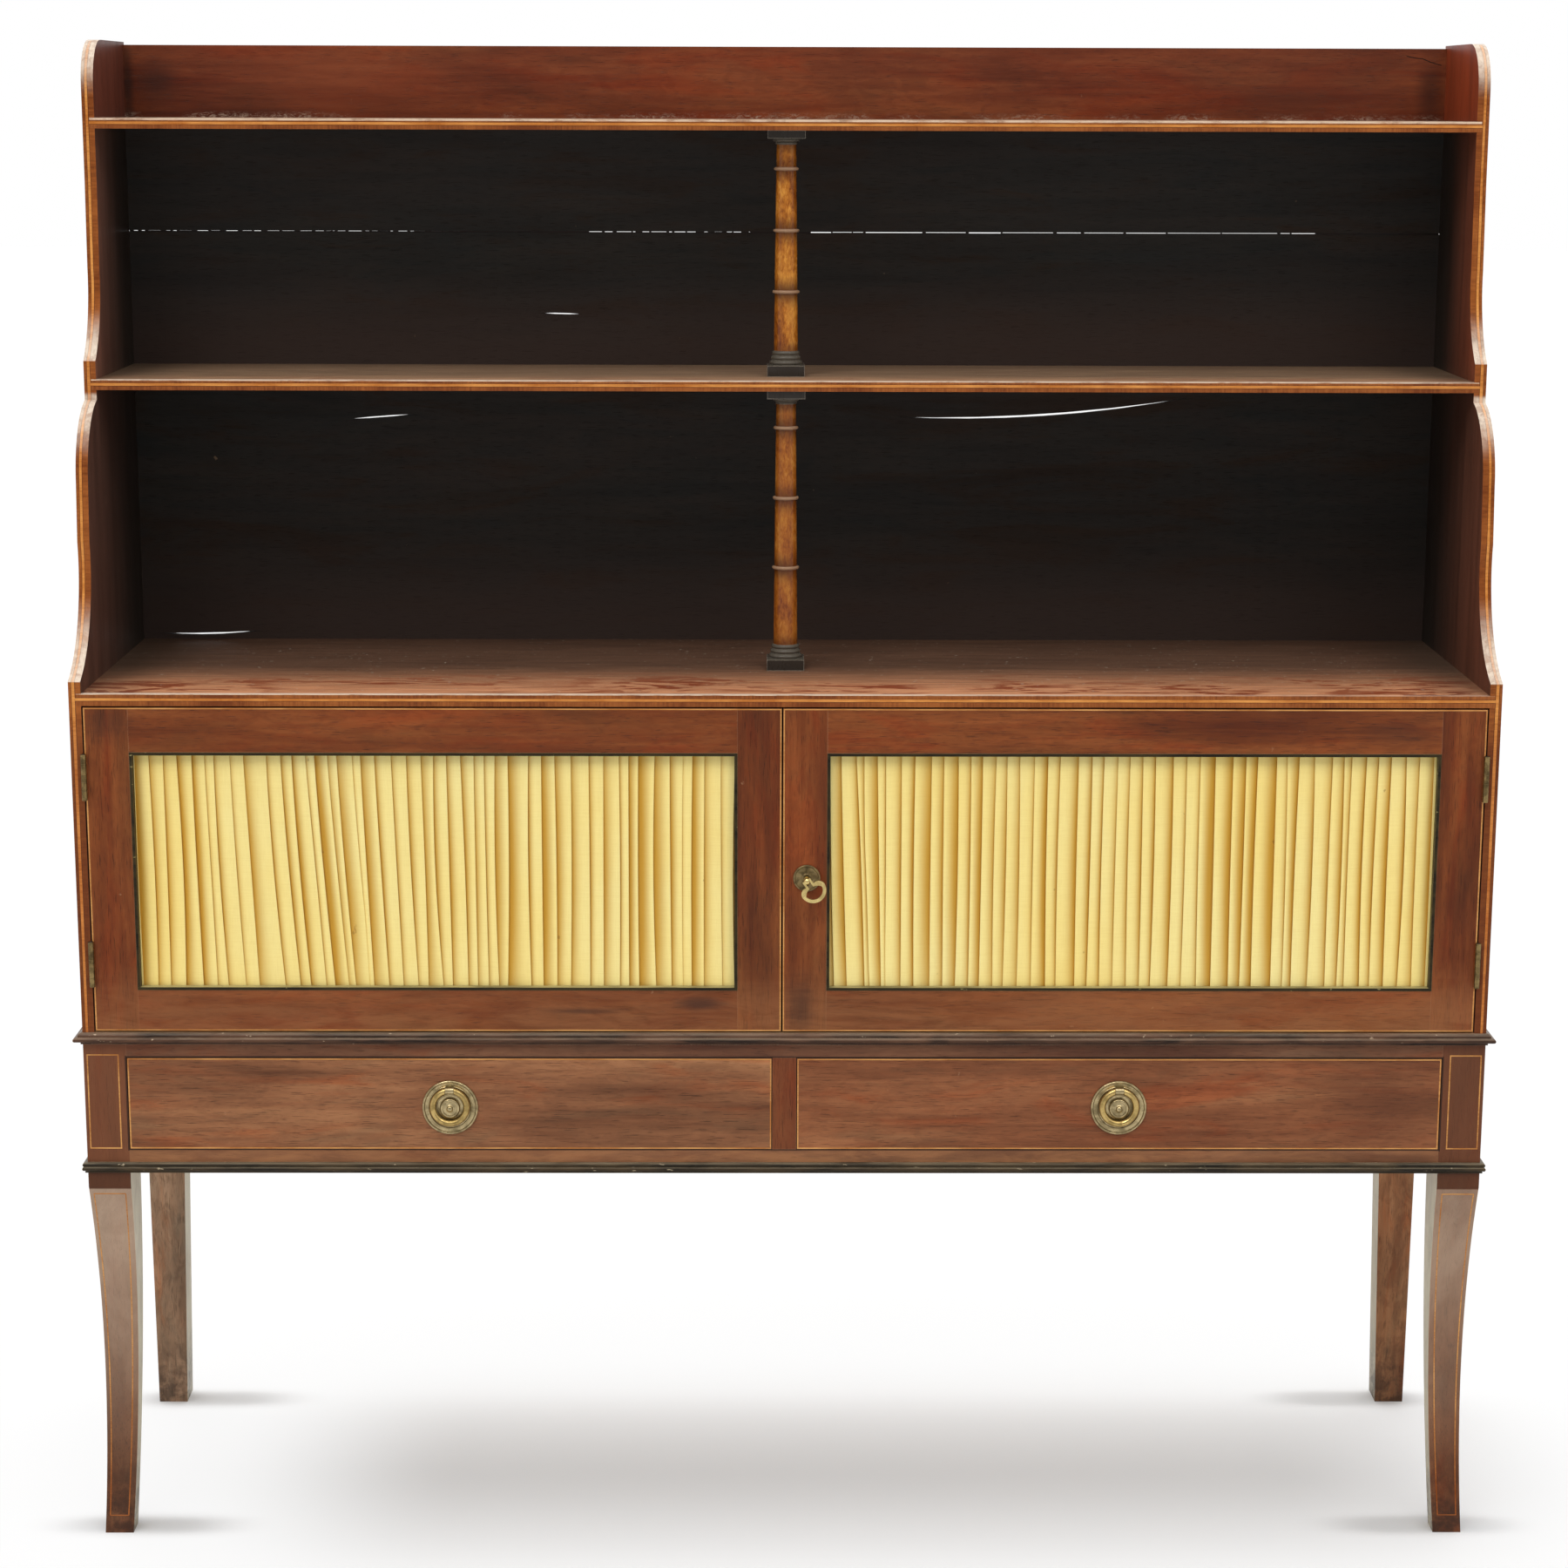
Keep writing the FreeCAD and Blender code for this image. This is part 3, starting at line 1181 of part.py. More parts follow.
lock_cuts, strike_cuts = lock()
key()
socket_top, socket_bottom = left_door_bolts()
keep("counter_shelf", cut("CounterSocketed", boards[1], socket_top))
keep("cupboard_bottom", cut("CupboardBottomSocketed", boards[0], socket_bottom))
hinge_edge = inner_half - s.door_gap
door("left", -hinge_edge, meeting_x - s.meeting_gap / 2, [nodes["left_door_hinge_leaves"]], strike_cuts)
door("right", meeting_x + s.meeting_gap / 2, hinge_edge, lock_cuts, [nodes["right_door_hinge_leaves"]])

drawer("left", -leg_inner + s.drawer_gap, divider_left - s.drawer_gap)
drawer("right", divider_right + s.drawer_gap, leg_inner - s.drawer_gap)


# ---------------------------------------------------------------- check and write

doc.recompute()
for thing in doc.Objects:
    if "Invalid" in thing.State or "Error" in thing.State:
        raise RuntimeError(f"{thing.Name} ({thing.Label}) failed: {thing.State}")
os.makedirs("parts", exist_ok=True)
for node, thing in nodes.items():
    shape = thing.Shape
    if shape.isNull() or not shape.isValid():
        raise RuntimeError(f"{node} has no valid shape")
    shape.exportStep(f"parts/{node}.step")
    print(f"{node}: {len(shape.Solids)} solids, {len(shape.Faces)} faces, {shape.Volume:.0f} mm3")
print(f"{len(nodes)} nodes")
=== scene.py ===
"""A Regency chiffonier: sabre legs, a frieze with two drawers, silk-panelled doors and open shelves.

Everything is in metres in the CAD model's own frame: X to the right, -Y to the front, Z up.
"""
import math
import random

import bpy
from mathutils import Matrix, Vector


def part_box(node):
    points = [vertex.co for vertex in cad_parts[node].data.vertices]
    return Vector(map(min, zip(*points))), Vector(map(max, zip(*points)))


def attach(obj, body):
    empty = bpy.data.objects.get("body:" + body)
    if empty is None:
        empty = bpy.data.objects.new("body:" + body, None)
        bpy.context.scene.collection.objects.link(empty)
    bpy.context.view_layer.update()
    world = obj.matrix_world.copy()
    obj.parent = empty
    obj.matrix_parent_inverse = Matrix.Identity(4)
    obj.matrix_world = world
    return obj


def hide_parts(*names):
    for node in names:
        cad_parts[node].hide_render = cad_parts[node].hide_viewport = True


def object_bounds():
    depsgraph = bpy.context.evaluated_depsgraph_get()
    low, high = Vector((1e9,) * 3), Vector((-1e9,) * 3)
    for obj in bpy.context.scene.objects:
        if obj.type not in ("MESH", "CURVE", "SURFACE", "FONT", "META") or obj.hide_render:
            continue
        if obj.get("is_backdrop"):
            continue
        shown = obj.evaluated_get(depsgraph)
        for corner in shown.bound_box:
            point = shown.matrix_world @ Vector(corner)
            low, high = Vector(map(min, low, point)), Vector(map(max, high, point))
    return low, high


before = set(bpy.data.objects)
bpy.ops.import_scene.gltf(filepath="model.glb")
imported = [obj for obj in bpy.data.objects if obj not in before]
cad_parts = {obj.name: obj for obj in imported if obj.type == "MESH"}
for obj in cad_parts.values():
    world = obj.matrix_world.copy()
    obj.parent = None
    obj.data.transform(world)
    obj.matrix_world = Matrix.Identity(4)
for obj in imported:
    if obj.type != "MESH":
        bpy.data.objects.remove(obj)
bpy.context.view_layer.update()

MM = 0.001
FRONT = Vector((0, -1, 0))
RIGHT = Vector((1, 0, 0))


# ------------------------------------------------------------------ camera, lamps and floor

CAMERA_PLACE = Vector((-0.0268, -3.3166, 1.427))
PITCH, YAW, ROLL = 0.2043, 0.0078, 0.0030      # radians: down, to the right, clockwise
LENS, SENSOR = 75.474, 36.0                    # millimetres

SKY_LIGHT = 0.45           # how much light the room gives from all round
DARK_SIDE = 0.25           # what polish mirrors of the room in front of the object, where white is 1
DARK_SIDE_ENDS = (-0.9, -0.35)     # the Y of a direction where the dim side starts to end, and has
SOFTBOXES = (
    # name, degrees to the right of the front, degrees up, strength, degrees across, and whether
    # the floor is left out (EXCLUDE), the only thing lit (INCLUDE) or one of all (None)
    ("softbox_left", -30, 52, 1.08, 30, "EXCLUDE"),
    ("softbox_right", 36, 50, 0.72, 34, "EXCLUDE"),
    ("softbox_above", 180, 82, 1.00, 50, None),
    ("softbox_floor", -143, 77, 0.85, 64, "INCLUDE"),
)


def rgb(*channels):
    """A screen colour, its channels 0 to 255, in linear light."""
    shares = [channel / 255 for channel in channels]
    return tuple(c / 12.92 if c <= 0.04045 else ((c + 0.055) / 1.055) ** 2.4 for c in shares) + (1.0,)


def add_object(name, data):
    made = bpy.data.objects.new(name, data)
    bpy.context.scene.collection.objects.link(made)
    return made


class Nodes:
    """A node tree, with the few kinds of node that the room and the finishes are made of."""

    def __init__(self, tree):
        self.tree = tree

    def wire(self, socket, value):
        if isinstance(value, bpy.types.NodeSocket):
            self.tree.links.new(value, socket)
        else:
            socket.default_value = value

    def new(self, kind, *values, **settings):
        """A node with its settings, and with values or sockets for its first inputs."""
        node = self.tree.nodes.new(f"ShaderNode{kind}")
        for key, setting in settings.items():
            setattr(node, key, setting)
        for socket, value in zip(node.inputs, values):
            self.wire(socket, value)
        return node

    def math(self, operation, a, b=0.0):
        return self.new("Math", a, b, operation=operation).outputs[0]

    def most(self, a, b):
        return self.math("MAXIMUM", a, b)

    def between(self, value, low, high, start=0.0, end=1.0, how="SMOOTHSTEP"):
        """start where value is low or less, end where it is high or more, and smooth between."""
        return self.new("MapRange", value, low, high, start, end, interpolation_type=how).outputs[0]

    def seen_directly(self):
        """1 for the rays that show the background itself: to the camera, in a reflection, through glass."""
        path = self.new("LightPath").outputs
        bounced = self.most(path["Is Glossy Ray"], path["Is Transmission Ray"])
        return self.most(path["Is Camera Ray"], bounced)


class Paint(Nodes):
    """One material, whose colour is built up coat by coat."""

    def __init__(self, name, roughness, specular):
        self.material = bpy.data.materials.new(name)
        self.material.use_nodes = True
        super().__init__(self.material.node_tree)
        self.shader = self.tree.nodes["Principled BSDF"]
        self.shader.inputs["Roughness"].default_value = roughness
        self.shader.inputs["Specular IOR Level"].default_value = specular
        self.place = self.new("TexCoord").outputs["Object"]
        self.surface = self.new("NewGeometry").outputs
        self.x, self.y, self.z = self.new("SeparateXYZ", self.place).outputs
        # how much the surface faces along each axis, -1 to 1
        self.face_x, self.face_y, self.face_z = self.new("SeparateXYZ", self.surface["True Normal"]).outputs
        self.colour = None

    def times(self, *values):
        total = values[0]
        for value in values[1:]:
            total = self.math("MULTIPLY", total, value)
        return total

    def total(self, *parts):
        """The sum of values, each given with its share."""
        total = self.times(*parts[0])
        for part in parts[1:]:
            total = self.math("ADD", total, self.times(*part))
        return total

    def off(self, value, at):
        """How far a value is from a place, either way."""
        return self.math("ABSOLUTE", self.math("SUBTRACT", value, at))

    def inward(self):
        """1 where the surface faces the object's middle plane, half a metre or more from it."""
        return self.falling(self.times(self.x, self.face_x), -0.5, -0.2)

    def noise(self, scale, detail, rough, warp, shift):
        """Noise with so many features to the metre, the same all ways or along X, Y and Z."""
        scale = scale if isinstance(scale, tuple) else (scale,) * 3
        place = self.new("Mapping", self.place, (shift, shift * 1.7, shift * 2.3), (0, 0, 0), scale)
        node = self.new("TexNoise", place.outputs[0])
        for key, value in (("Scale", 1.0), ("Detail", detail), ("Roughness", rough), ("Distortion", warp)):
            node.inputs[key].default_value = value
        return node.outputs[0]

    def cloud(self, noise, *levels):
        """Noise that is spread between two levels."""
        return self.between(self.noise(*noise), *levels)

    def falling(self, value, low, high, start=1.0):
        """start where value is low or less, 0 where it is high or more."""
        return self.between(value, low, high, start, 0.0)

    def band(self, value, start, full, fade, end):
        """0 outside start to end, 1 from full to fade."""
        return self.times(self.between(value, start, full), self.falling(value, fade, end))

    def tones(self, value, *stops):
        node = self.new("ValToRGB", value)
        elements = node.color_ramp.elements
        while len(elements) < len(stops):
            elements.new(0.5)
        for element, (at, colour) in zip(elements, stops):
            element.position, element.color = at, colour
        return node.outputs[0]

    def mix(self, share, first, second, blend="MIX"):
        node = self.new("Mix", share, data_type="RGBA", blend_type=blend)
        self.wire(node.inputs[6], first)
        self.wire(node.inputs[7], second)
        return node.outputs[2]

    def coat(self, share, tone, blend="MIX"):
        """Lays a share of a tone over the colour so far."""
        self.colour = self.mix(share, self.colour, tone, blend)

    def edges(self, radius, low=0.02, high=0.25):
        """1 along the edges that stand out, by comparing the surface with a rounded one."""
        bevel = self.new("Bevel", radius, samples=4)
        dot = self.new("VectorMath", bevel.outputs[0], self.surface["Normal"], operation="DOT_PRODUCT")
        return self.between(self.math("SUBTRACT", 1.0, dot.outputs["Value"]), low, high)

    def length(self, *sides):
        return self.math("SQRT", self.math("ADD", *(self.times(side, side) for side in sides)))

    def away(self, middle, half, unit):
        """How far a point of the floor is outside a rectangle, in the given units along X and Y."""
        sides = []
        for value, at, reach, one in zip((self.x, self.y), middle, half, unit):
            past = self.math("SUBTRACT", self.off(value, at), reach)
            sides.append(self.math("DIVIDE", self.most(past, 0.0), one))
        return self.length(*sides)

    def spot(self, x, z, across, high):
        """1 in a smudge on the front, 0 away from it, with a ragged outline."""
        sides = (self.math("DIVIDE", self.math("SUBTRACT", value, middle), half)
                 for value, middle, half in ((self.x, x, across), (self.z, z, high)))
        ragged = self.noise((16, 60, 110), 5, 0.7, 0.5, x * 9)
        return self.falling(self.total((self.length(*sides),), (ragged, 0.9)), 0.5, 1.6)

    def bump(self, height, distance):
        node = self.new("Bump")
        node.inputs["Distance"].default_value = distance
        self.wire(node.inputs["Height"], height)
        self.wire(self.shader.inputs["Normal"], node.outputs[0])

    def finish(self, roughness):
        self.wire(self.shader.inputs["Base Color"], self.colour)
        self.wire(self.shader.inputs["Roughness"], roughness)
        return self.material


def make_camera():
    camera = add_object("camera", bpy.data.cameras.new("camera"))
    camera.data.lens, camera.data.sensor_width = LENS, SENSOR
    turned = (Matrix.Rotation(-YAW, 4, "Z") @ Matrix.Rotation(math.pi / 2 - PITCH, 4, "X")
              @ Matrix.Rotation(ROLL, 4, "Z"))
    camera.matrix_world = Matrix.Translation(CAMERA_PLACE) @ turned
    bpy.context.scene.camera = camera


def make_lamps(floor):
    """Large far softboxes. The front ones pass the floor by, so its shade comes from above."""
    for name, azimuth, elevation, strength, across, state in SOFTBOXES:
        data = bpy.data.lights.new(name, "SUN")
        data.energy, data.angle = strength, math.radians(across)
        lamp = add_object(name, data)
        lamp.rotation_euler = (math.radians(90 - elevation), 0, math.radians(azimuth))
        if state:
            group = bpy.data.collections.new(f"{name}_floor")
            group.objects.link(floor)
            group.collection_objects[0].light_linking.link_state = state
            lamp.light_linking.receiver_collection = group


def make_world():
    """White to the eye and in reflections, but for the dim side of the room that faces the front."""
    world = bpy.data.worlds.new("studio")
    bpy.context.scene.world = world
    world.use_nodes = True
    nodes = Nodes(world.node_tree)
    background = nodes.tree.nodes["Background"]
    background.inputs["Color"].default_value = (1, 1, 1, 1)
    way = nodes.new("SeparateXYZ", nodes.new("TexCoord").outputs["Generated"]).outputs["Y"]
    mirrored = nodes.between(way, *DARK_SIDE_ENDS, DARK_SIDE, 1.0, "LINEAR")
    light = nodes.between(nodes.seen_directly(), 0.0, 1.0, SKY_LIGHT, mirrored, "LINEAR")
    to_camera = nodes.new("LightPath").outputs["Is Camera Ray"]
    nodes.wire(background.inputs["Strength"], nodes.between(to_camera, 0.0, 1.0, light, 1.0, "LINEAR"))


FLOOR_SIZE = 60.0
FLOOR_COLOUR = (0.80, 0.80, 0.80, 1.0)
FLOOR_LIFT = 0.29          # only what is seen of the floor is lifted towards white
# the floor runs from its own shade to plain white: fully between these distances from the object,
# and partly round a patch under it, given by its middle, half its size and how far it fades
SHADE_REACH = (0.05, 0.60)
PATCH_MIDDLE, PATCH_HALF, PATCH_FADE = (0.16, -0.03), (0.49, 0.12), (0.28, 0.22)
PATCH_SHARE = 0.75
# painted shadows beside the feet, partly the feet's own shade, given in the same way: there the floor is less
# lifted and less white
FEET = ((-0.640, 0.164), (0.640, 0.164), (-0.655, -0.172), (0.655, -0.172))
FOOT_HALF, FOOT_FADE = (0.024, 0.004), (0.12, 0.034)
FOOT_LIFT = 0.25


def make_floor():
    half = FLOOR_SIZE / 2
    corners = [(-half, -half, 0), (half, -half, 0), (half, half, 0), (-half, half, 0)]
    mesh = bpy.data.meshes.new("floor")
    mesh.from_pydata(corners, [], [(0, 1, 2, 3)])
    floor = add_object("floor", mesh)
    paint = Paint("floor", 0.9, 0.1)
    shader = paint.shader
    shader.inputs["Base Color"].default_value = FLOOR_COLOUR
    shader.inputs["Emission Color"].default_value = (1, 1, 1, 1)
    seen = paint.seen_directly()
    # painted shadows: beside each foot the floor is lifted less, so it shows darker
    beside = 1.0
    for foot in FEET:
        beside = paint.times(paint.between(paint.away(foot, FOOT_HALF, FOOT_FADE), 0.0, 1.0), beside)
    lift = paint.times(paint.between(beside, 0.0, 1.0, FOOT_LIFT, 1.0), seen, FLOOR_LIFT)
    paint.wire(shader.inputs["Emission Strength"], lift)
    low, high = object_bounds()
    far = paint.between(paint.away((0, 0), (high.x, high.y), (1, 1)), *SHADE_REACH)
    near = paint.between(paint.away(PATCH_MIDDLE, PATCH_HALF, PATCH_FADE), 0.0, 1.0, 0.0, PATCH_SHARE)
    share = paint.times(seen, paint.most(far, paint.times(near, beside)))
    both = paint.new("MixShader", share, shader.outputs[0], paint.new("Emission").outputs[0])
    paint.wire(paint.tree.nodes["Material Output"].inputs["Surface"], both.outputs[0])
    mesh.materials.append(paint.material)
    floor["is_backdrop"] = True
    return floor


# ------------------------------------------------------------------ materials

def along(axis, run, across):
    """Noise scales for grain that runs along one axis."""
    return tuple(run if letter == axis else across for letter in "XYZ")


# Tones of a wood: dark, middle, light
DOOR_TONES = (rgb(88, 38, 14), rgb(122, 62, 26), rgb(152, 86, 42))
GALLERY_TONES = (rgb(92, 38, 20), rgb(122, 60, 34), rgb(150, 82, 46))
FRIEZE_TONES = (rgb(108, 66, 42), rgb(150, 99, 66), rgb(180, 126, 86))
RIGHT_TONES = (rgb(98, 55, 32), rgb(137, 83, 52), rgb(168, 110, 72))
RAIL_TONES = (rgb(92, 56, 40), rgb(118, 77, 54), rgb(144, 100, 72))
DIVIDER_TONES = (rgb(96, 46, 24), rgb(124, 66, 36), rgb(146, 84, 48))
CARCASE_TONES = (rgb(62, 28, 16), rgb(92, 46, 26), rgb(124, 68, 40))
LEG_TONES = (rgb(84, 46, 26), rgb(110, 66, 40), rgb(134, 88, 58))
BACK_LEG_TONES = (rgb(132, 102, 78), rgb(174, 138, 108), rgb(200, 166, 134))
RIGHT_LEG_TONES = (rgb(134, 88, 58), rgb(178, 124, 84), rgb(206, 158, 114))
BACK_TONES = (rgb(43, 42, 40), rgb(51, 49, 46), rgb(60, 54, 49))
OAK_TONES = (rgb(120, 88, 54), rgb(150, 114, 74), rgb(176, 140, 98))
DEAL_TONES = (rgb(140, 106, 68), rgb(172, 136, 92), rgb(196, 162, 118))

WORN_AND_HIGHLIGHT = rgb(196, 160, 124)          # arrises and specks where the polish is gone; on the arrises also a painted highlight
STAIN = rgb(40, 24, 18)
SOOT_AND_SHADE = rgb(40, 30, 26)             # old dark polish where hands have been, and painted shade in corners
RED_SHADE = rgb(84, 48, 30)
# the pale of the painted sheen and of painted highlights on edges that turn up
SHEEN_CREAM = rgb(236, 220, 200)
# a painted reflection, pale, on the sides of the legs that face each other
PAINTED_REFLECTION = rgb(214, 204, 176)
BAND_DARK, BAND_LIGHT = rgb(118, 58, 22), rgb(164, 94, 42)
RED_HUE = (1.10, 0.72, 0.52, 1.0)
BROWN_HUE = (0.78, 0.92, 1.0, 1.0)

BAY_CHANGE = (1.14, 1.16)          # the heights between which a side changes from bay to bay
TOP_CHANGE = (1.402, 1.412)        # and from the upper bay to what is above the top shelf
BLOCK_LOW = 0.3735                 # a front leg's block starts here, above the lower moulding's foot
LEFT_TO_RIGHT = (-0.1, 0.1)        # the X between which a tone changes from the left to the right


def wood(name, axis, dark, middle, light, shift=0.0, stained=0.45, gloss=0.36, specular=0.18,
         edge_wear_and_highlight=0.35, pores=0.5, mottled=0.25, hues=0.65, extra=None):
    """Polished wood: figure and grain along axis, dark stains, redder and browner patches, pores and
    pale arrises, where the polish is gone and as a painted highlight. extra is what else the piece has, as a
    function of its paint."""
    paint = Paint(name, gloss, specular)
    figure = paint.noise(along(axis, 2.2, 15.0), 5, 0.55, 0.7, shift)
    grain = paint.noise(along(axis, 9.0, 210.0), 4, 0.6, 0.3, shift + 3)
    streak = paint.noise(along(axis, 3.5, 62.0), 4, 0.6, 0.5, shift + 5)
    tone = paint.total((figure, 0.54), (streak, 0.28), (grain, 0.18))
    paint.colour = paint.tones(tone, (0.36, dark), (0.5, middle), (0.66, light))
    mottle = paint.noise(along(axis, 34.0, 90.0), 4, 0.65, 1.0, shift + 8)
    paint.coat(paint.between(mottle, 0.42, 0.62, 0.0, mottled), dark)
    patch = paint.noise(along(axis, 2.4, 6.5), 3, 0.6, 0.6, shift + 11)
    paint.coat(paint.between(patch, 0.5, 0.72, 0.0, stained), STAIN)
    hue = paint.noise(along(axis, 6.0, 30.0), 5, 0.62, 0.8, shift + 14)
    paint.coat(paint.between(hue, 0.50, 0.68, 0.0, hues), RED_HUE, "MULTIPLY")
    paint.coat(paint.falling(hue, 0.32, 0.48, hues), BROWN_HUE, "MULTIPLY")
    pore = paint.noise(along(axis, 60.0, 1500.0), 2, 0.5, 0.0, shift + 17)
    pit = paint.between(pore, 0.60, 0.70)
    paint.coat(paint.times(pit, pores), STAIN, "MULTIPLY")
    speck = paint.noise(70, 3, 0.6, 0.0, shift + 23)
    paint.coat(paint.between(speck, 0.73, 0.79, 0.0, 0.3), WORN_AND_HIGHLIGHT)
    if edge_wear_and_highlight:
        # pale arrises: polish gone, and a painted highlight along them
        worn_and_highlit = paint.times(paint.edges(1.2 * MM), paint.between(figure, 0.35, 0.65, 0.25, 1.0), edge_wear_and_highlight)
        paint.coat(worn_and_highlit, WORN_AND_HIGHLIGHT)
    if extra:
        extra(paint)
    paint.bump(paint.math("SUBTRACT", grain, paint.times(pit, 0.8)), 0.18 * MM)
    return paint.finish(paint.between(patch, 0.3, 0.7, gloss - 0.05, gloss + 0.10))


def ebonised(name, black, brown, pale, shift, arris_wear_and_highlight, top_highlight):
    """Black-stained wood gone brown, with thin pale lines on its arrises, where the polish is gone and as a
    painted highlight, and a painted highlight on what faces up.
    """
    paint = Paint(name, 0.36, 0.12)
    patch = paint.noise((11, 60, 60), 4, 0.6, 0.5, shift)
    paint.colour = paint.tones(patch, (0.38, black), (0.6, brown))
    rub = paint.noise((18, 90, 90), 4, 0.65, 0.4, shift + 5)
    edge = paint.times(paint.edges(0.6 * MM, 0.03, 0.25), paint.between(rub, 0.36, 0.6, 0.3, 1.0), arris_wear_and_highlight)
    # a painted highlight on the faces that turn up
    upward = paint.between(paint.face_z, 0.25, 0.9)
    top = paint.times(upward, paint.between(rub, 0.3, 0.62, 0.3, 0.9), top_highlight)
    paint.coat(paint.most(edge, top), pale)
    chip = paint.cloud(((90, 200, 200), 3, 0.6, 0.0, shift + 9), 0.68, 0.72, 0.0, 0.6)
    paint.coat(chip, pale)
    paint.bump(rub, 0.2 * MM)
    return paint.finish(paint.between(patch, 0.3, 0.7, 0.26, 0.42))


def metal(name, bright, tarnish, shift, tarnished, polish=0.24):
    """Old lacquered metal: tarnish in patches and hollows, bright on the edges where it is touched."""
    paint = Paint(name, polish, 0.5)
    paint.shader.inputs["Metallic"].default_value = 1.0
    patch = paint.noise(120, 5, 0.6, 0.4, shift)
    spot = paint.noise(840, 3, 0.6, 0.0, shift + 3)
    share = paint.between(patch, 0.35, 0.68, tarnished * 0.3, tarnished)
    paint.colour = paint.mix(share, bright, tarnish)
    paint.coat(paint.between(spot, 0.58, 0.72, 0.0, 0.5), tarnish)
    paint.coat(paint.times(paint.edges(0.6 * MM), 0.6), bright)
    paint.bump(spot, 0.08 * MM)
    return paint.finish(paint.between(patch, 0.3, 0.7, polish, polish + 0.2))


# where a side's edge turns up: a painted sheen starts and is full at these heights, then fades and ends
SHEEN_BANDS = (
    (0.8720, 0.8732, 0.885, 0.950), (1.0800, 1.1280, 1.138, 1.143),
    (1.1728, 1.1740, 1.180, 1.225), (1.4300, 1.4720, 2.0, 2.1),
)
EDGE_FOOT = (0.800, 0.845)         # the edges are darker up to here, and then fade to their own tone


def turned_up(paint):
    """A painted sheen, pale, on the edges of the sides where they turn up."""
    height, share = paint.z, 0.0
    for heights in SHEEN_BANDS:
        share = paint.most(share, paint.band(height, *heights))
    cloud = paint.cloud(((90, 90, 60), 5, 0.7, 0.5, 51), 0.32, 0.62, 0.5, 1.0)
    return paint.times(share, cloud)


def string_wood(name, dark, light, shift, sheen_share=0.55, lowered=0.0):
    """The pale wood of the inlaid lines, with a painted sheen where the sides' edges turn up, darker at the
    feet and, by lowered, low on the sides.
    """
    paint = Paint(name, 0.34, 0.2)
    height = paint.z
    grain = paint.noise(along("X", 30, 700), 4, 0.6, 0.2, shift)
    tone = paint.noise(22, 4, 0.6, 0.0, shift + 4)
    paint.colour = paint.tones(paint.total((grain, 0.4), (tone, 0.6)), (0.40, dark), (0.60, light))
    # a painted sheen where the sides' edges turn up
    paint.coat(paint.times(turned_up(paint), sheen_share), SHEEN_CREAM)
    paint.coat(paint.falling(height, 0.02, 0.16, 0.75), dark, "MULTIPLY")
    low_side = paint.times(paint.falling(height, *EDGE_FOOT, 0.3), lowered)
    paint.coat(low_side, dark, "MULTIPLY")
    paint.bump(grain, 0.1 * MM)
    return paint.finish(paint.between(tone, 0.3, 0.7, 0.26, 0.4))


SILK_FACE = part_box("left_door_silk")[0].y
SILK_SHADE_DEPTHS = (SILK_FACE + 0.6 * MM, SILK_FACE + 2.8 * MM)     # where the painted shade, a darker gold, starts and is full


def silk_cloth():
    """Fine plain-woven silk, faintly slubbed, with painted shade, a darker gold, in the depths of the pleats.
    """
    paint = Paint("silk", 0.6, 0.15)
    paint.shader.inputs["Sheen Weight"].default_value = 0.25
    paint.shader.inputs["Sheen Roughness"].default_value = 0.4
    paint.shader.inputs["Sheen Tint"].default_value = (1.0, 0.92, 0.7, 1.0)
    warp = paint.noise((1600, 1600, 60), 2, 0.5, 0.0, 1.0)
    weft = paint.noise((60, 60, 1900), 2, 0.5, 0.0, 2.0)
    fade = paint.noise((7, 7, 3), 4, 0.6, 0.3, 5.0)
    thread = paint.total((warp, 0.5), (weft, 0.5))
    paint.colour = paint.tones(fade, (0.3, rgb(255, 228, 138)), (0.7, rgb(255, 238, 162)))
    paint.coat(paint.between(thread, 0.42, 0.62, 0.0, 0.12), rgb(222, 182, 96))
    # painted shade: darker gold the deeper the silk lies in a pleat
    depth = paint.between(paint.y, *SILK_SHADE_DEPTHS)
    paint.coat(paint.times(depth, 0.9), rgb(198, 142, 22))
    spot = paint.cloud(((55, 55, 40), 3, 0.6, 0.0, 9.0), 0.72, 0.76, 0.0, 0.5)
    paint.coat(spot, rgb(150, 104, 48))
    paint.bump(thread, 0.12 * MM)
    return paint.finish(paint.between(thread, 0.3, 0.7, 0.48, 0.62))


def dress(material, *names):
    """Gives CAD nodes their material."""
    for name in names:
        piece = bpy.data.objects[name]
        if not piece.material_slots:
            piece.data.materials.append(material)
        for slot in piece.material_slots:
            slot.material = material


# where each bay's foot is redder: it starts and is full at these heights, then fades and ends
BAY_FEET = ((0.85, 0.86, 0.87, 0.99), (1.14, 1.15, 1.16, 1.27))


def board_by_board(paint):
    """Each back board its own tone, and redder low in each bay."""
    island = paint.surface["Random Per Island"]
    paint.coat(paint.between(island, 0.0, 1.0, 0.0, 0.25), rgb(52, 44, 42))
    height = paint.z
    low, high = (paint.times(paint.band(height, *heights), 0.8) for heights in BAY_FEET)
    paint.coat(paint.most(low, high), rgb(68, 54, 48))


def marked(*marks):
    """Smudges: each mark is x, z, half its width and height, how strong, and its colour."""
    def finish(paint):
        for x, z, across, high, strength, tone in marks:
            paint.coat(paint.times(paint.spot(x, z, across, high), strength), tone)
    return finish


# the drawers' opening: from the runners' tops to the kickers' undersides, and out to the legs
OPENING_LOW, OPENING_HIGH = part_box("drawer_runners")[1].z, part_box("drawer_kickers")[0].z
OPENING_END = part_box("front_leg_right")[0].x
